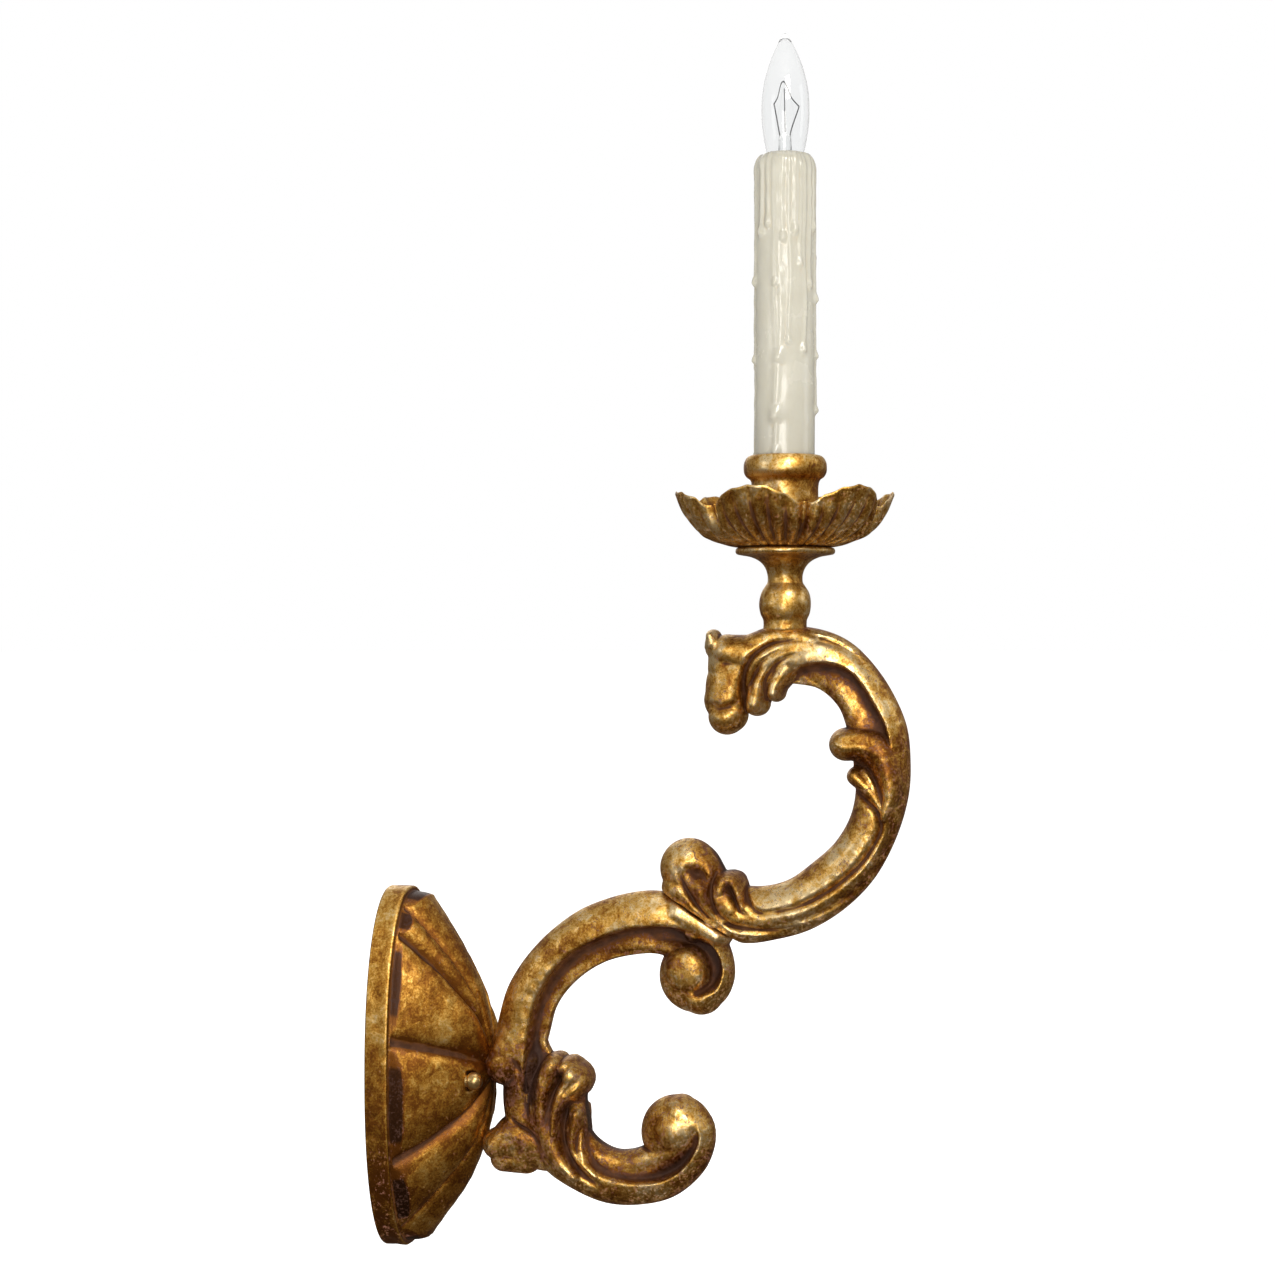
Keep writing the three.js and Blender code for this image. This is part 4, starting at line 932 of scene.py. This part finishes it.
# ---- the scene ----
bpy.context.scene.view_settings.view_transform = "Standard"
add_camera()
add_world()
add_floor()
add_light("key", (-1.6, -0.95, 1.42), (0.8, 0.8), 25, (1, 0.97, 0.92))
add_light("front", (-1.9, -0.4, 0.42), (0.6, 0.8), 12, (1, 0.96, 0.91))
add_light("fill", (-1.3, 1.3, 0.7), (0.6, 1.0), 4, (1, 0.98, 0.96))
add_light("side", (0.3, -2.1, 0.9), (0.6, 1.0), 3)
add_light("top", (0.1, -0.3, 2.0), (1.0, 1.0), 5, (1, 0.97, 0.97))
add_light("far", (1.9, 0.5, 0.9), (1.2, 1.2), 5)

gilt_arm = gilt("gilt_arm", toned=0.018, rubbed=0.04)
gilt_plate = gilt("gilt_plate", toned=0.095, patchy=0.7)
gilt_dish = gilt("gilt_dish", toned=0.045, rubbed=0.045)

# The share of painted shade in each carving's coves, and [y, z, size, amount] spots of painted shade.
for name, carve, cove_share, spots in (
    ("lower_scroll", lower_scroll, 0.68, [
        (-64, 0, 18, 0.4), (-84, -24, 34, 0.75), (-150, -34, 34, 0.45), (-168, 54, 24, 0.4)]),
    ("upper_scroll", upper_scroll, 0.8, [(-172, 102, 24, 0.7), (-262, 150, 36, 0.3)]),
):
    points, faces, dug = carve()
    shade_wear = shade_wear_of(points, dug, cove_share, spots)
    add_piece(f"{name}_carving", points, faces, gilt_arm, "gilt_wood", [name], worn_and_shaded=True, aged=shade_wear)
points, faces, shade_wear = backplate()
add_piece("backplate_carving", points, faces, gilt_plate, "gilt_wood", ["backplate"], worn_and_shaded=True, aged=shade_wear)
add_piece("bobeche_petals", *bobeche(), gilt_dish, "gilt_wood", ["bobeche"], worn_and_shaded=True)

# the turned wood, as [radius, up]
STEM = [[5.2, 232.8], [10.8, 232.8], [11.1, 236.4], [11.3, 238.4], [12.6, 241.4], [13.35, 245.2],
        [13.3, 248.6], [12.3, 252.6], [10.4, 255.8], [9.3, 257.6], [9.1, 259.6], [9.3, 262],
        [10.6, 265.4], [13.4, 268.6], [18, 270.8], [23.6, 271.9], [25.2, 272.3], [25.8, 273.1],
        [25.8, 274.4], [25.2, 275.3], [24, 275.5], [5.2, 275.5], [5.2, 255], [5.2, 232.8]]
CUP = [[5.2, 278.7], [19.6, 278.7], [20.5, 279.8], [20, 281], [18.2, 282.6], [17.5, 286], [17.3, 296],
       [17.2, 306], [17.5, 309.4], [18.4, 310.9], [20, 312], [21.2, 314.2], [21.5, 316.8],
       [21.2, 319.4], [20, 321.8], [18.4, 322.9], [16.9, 323], [16.4, 322.4], [16.4, 314],
       [16.4, 306.4], [16, 306], [5.2, 306], [5.2, 292], [5.2, 278.7]]
gilt_stem = gilt("gilt_stem", toned=0.02)
gilt_cup = gilt("gilt_cup", toned=0.045)
add_piece("stem_turning", *turned(STEM, seed=61), gilt_stem, "gilt_wood", ["stem"], worn_and_shaded=True)
add_piece("cup_turning", *turned(CUP, seed=71), gilt_cup, "gilt_wood", ["candle_cup"], worn_and_shaded=True)

BALL = [[0, 48.9], [3.2, 48.9], [3.4, 49.5], [3.3, 50.2], [4.2, 51], [4.6, 53.2], [4.2, 55.4],
        [2.8, 57.1], [1.2, 57.75], [0, 57.8]]  # [radius, out of the wall]
brass_old = metal("brass_old", (0.42, 0.26, 0.08), (0.86, 0.64, 0.30), 0.3)
for side, x in (("left", -NUT_SIDE), ("right", NUT_SIDE)):
    ball = turned(BALL, 40, 0.4, x=x, out=NUT_UP, axis="Y")
    add_piece(f"ball_nut_{side}_turning", *ball, brass_old, "aged_brass", [f"ball_nut_{side}"])

add_piece("sleeve_drips", *sleeve(), wax(), "ivory_wax", ["candle_sleeve"], body="candle", worn_and_shaded=True)

# the bulb: the outer and the inner side of its glass as [radius, up], its leads and its filament
GLASS_OUT = [[0, 541], [0.9, 540.7], [1.7, 539.6], [3, 537.3], [5.6, 532.3], [8.6, 525], [10.8, 517.5],
             [12.1, 510], [12.5, 503], [12.3, 495], [11.1, 486], [9.3, 477.5], [7.6, 470],
             [6.5, 464.5], [6.3, 461.5]]
GLASS_IN = [[5.7, 461.5], [5.9, 464.5], [7, 470], [8.7, 477.5], [10.5, 486], [11.7, 495], [11.9, 503],
            [11.5, 510], [10.2, 517.5], [8, 525], [5, 532.3], [2.4, 537.2], [0, 538.6]]
outline = np.vstack([spline(GLASS_OUT, 0.9), spline(GLASS_IN, 0.9)])[::-1]
clear = glass("bulb_glass_clear", (0.945, 0.95, 0.95))
add_piece("bulb_envelope", *turned(outline, 64, None), clear, "clear_glass", ["bulb_glass"], body="bulb")


def bulb_point(out, up, x=0.0):
    return (x, -(CANDLE_OUT + out), up)


steel_wire = metal("lead_wire", (0.05, 0.05, 0.055), (0.16, 0.16, 0.165), 0.4)
tungsten = metal("filament_wire", (0.04, 0.04, 0.045), (0.12, 0.12, 0.125), 0.5, 900)
for side, way, reach, top in (("left", -1, 5.6, 505), ("right", 1, 7.0, 503)):
    route = [[way * 3.2, 479.5], [way * 3.0, 483], [way * 2.6, 487.5], [way * 3.2, 491],
             [way * reach, top - 1], [way * (reach + 0.25), top], [way * (reach - 0.2), top + 0.5]]
    wire = tube([bulb_point(*row) for row in spline(route, 0.5)], 0.34)
    add_piece(f"bulb_lead_{side}_wire", *wire, steel_wire, "nickel", [f"bulb_lead_{side}"], body="bulb")

arch = spline([[-5.6, 505.2], [-4, 508], [-1.9, 515.4], [-0.9, 516.2], [0.2, 515.2], [3.4, 507.6],
               [6.8, 503.4]], 0.06)
coils, coil_radius = 62, 0.42
turns = np.linspace(0, 2 * math.pi * coils, len(arch))
coil = [bulb_point(a[0], a[1] + coil_radius * math.cos(t), coil_radius * math.sin(t))
        for a, t in zip(arch, turns)]
add_piece("bulb_filament_coil", *tube(coil, 0.12, 5), tungsten, "tungsten", ["bulb_filament"], body="bulb")

# ---- finishes of the CAD nodes that stay: the hardware, the socket and the wiring ----
zinc = metal("zinc_plate", (0.34, 0.34, 0.33), (0.62, 0.62, 0.60), 0.34, 420)
brass = metal("brass_turned", (0.50, 0.33, 0.11), (0.86, 0.66, 0.32), 0.27)
nickel = metal("nickel_plate", (0.46, 0.45, 0.43), (0.74, 0.73, 0.70), 0.2, 500)
green = metal("green_screw", (0.015, 0.10, 0.03), (0.05, 0.26, 0.09), 0.35)
beech = dull("beech", (0.30, 0.17, 0.08), (0.52, 0.34, 0.18), 0.62, 260, 0.0003, (1.0, 0.12, 1.0))
phenolic = dull("phenolic_black", (0.010, 0.009, 0.008), (0.030, 0.027, 0.024), 0.36, 700)
card = dull("paper_tube", (0.22, 0.15, 0.075), (0.40, 0.30, 0.17), 0.85, 520, 0.0003, (1.0, 1.0, 0.3))
black = dull("insulation_black", (0.010, 0.010, 0.011), (0.028, 0.028, 0.030), 0.42)
white = dull("insulation_white", (0.60, 0.59, 0.54), (0.76, 0.75, 0.70), 0.45)
dark_glass = dull("insulator_glass", (0.008, 0.007, 0.010), (0.022, 0.020, 0.026), 0.12)
mount_glass = glass("bulb_mount_glass", (0.90, 0.91, 0.91))
for finish, node_names in (
    (zinc, ["wall_crossbar", "mounting_stud_left", "mounting_stud_right", "arm_bolt", "arm_bolt_washer",
            "lower_arm_screw", "rod_washer", "socket_bracket"]),
    (brass, ["rod_locknut", "bracket_nut", "stem_rod", "socket_screw_shell", "socket_contact",
             "terminal_screw_brass"]),
    (nickel, ["terminal_screw_nickel", "bulb_base_shell", "bulb_contact_tip"]),
    (green, ["ground_screw"]),
    (beech, ["scroll_dowel_left", "scroll_dowel_right"]),
    (phenolic, ["socket_body"]),
    (card, ["socket_liner"]),
    (black, ["lead_black", "wire_nut_black"]),
    (white, ["lead_white", "wire_nut_white"]),
    (dark_glass, ["bulb_insulator"]),
    (mount_glass, ["bulb_stem"]),
    (steel_wire, ["bulb_support"]),
):
    for node_name in node_names:
        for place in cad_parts[node_name].material_slots:
            place.material = finish

bpy.context.view_layer.update()
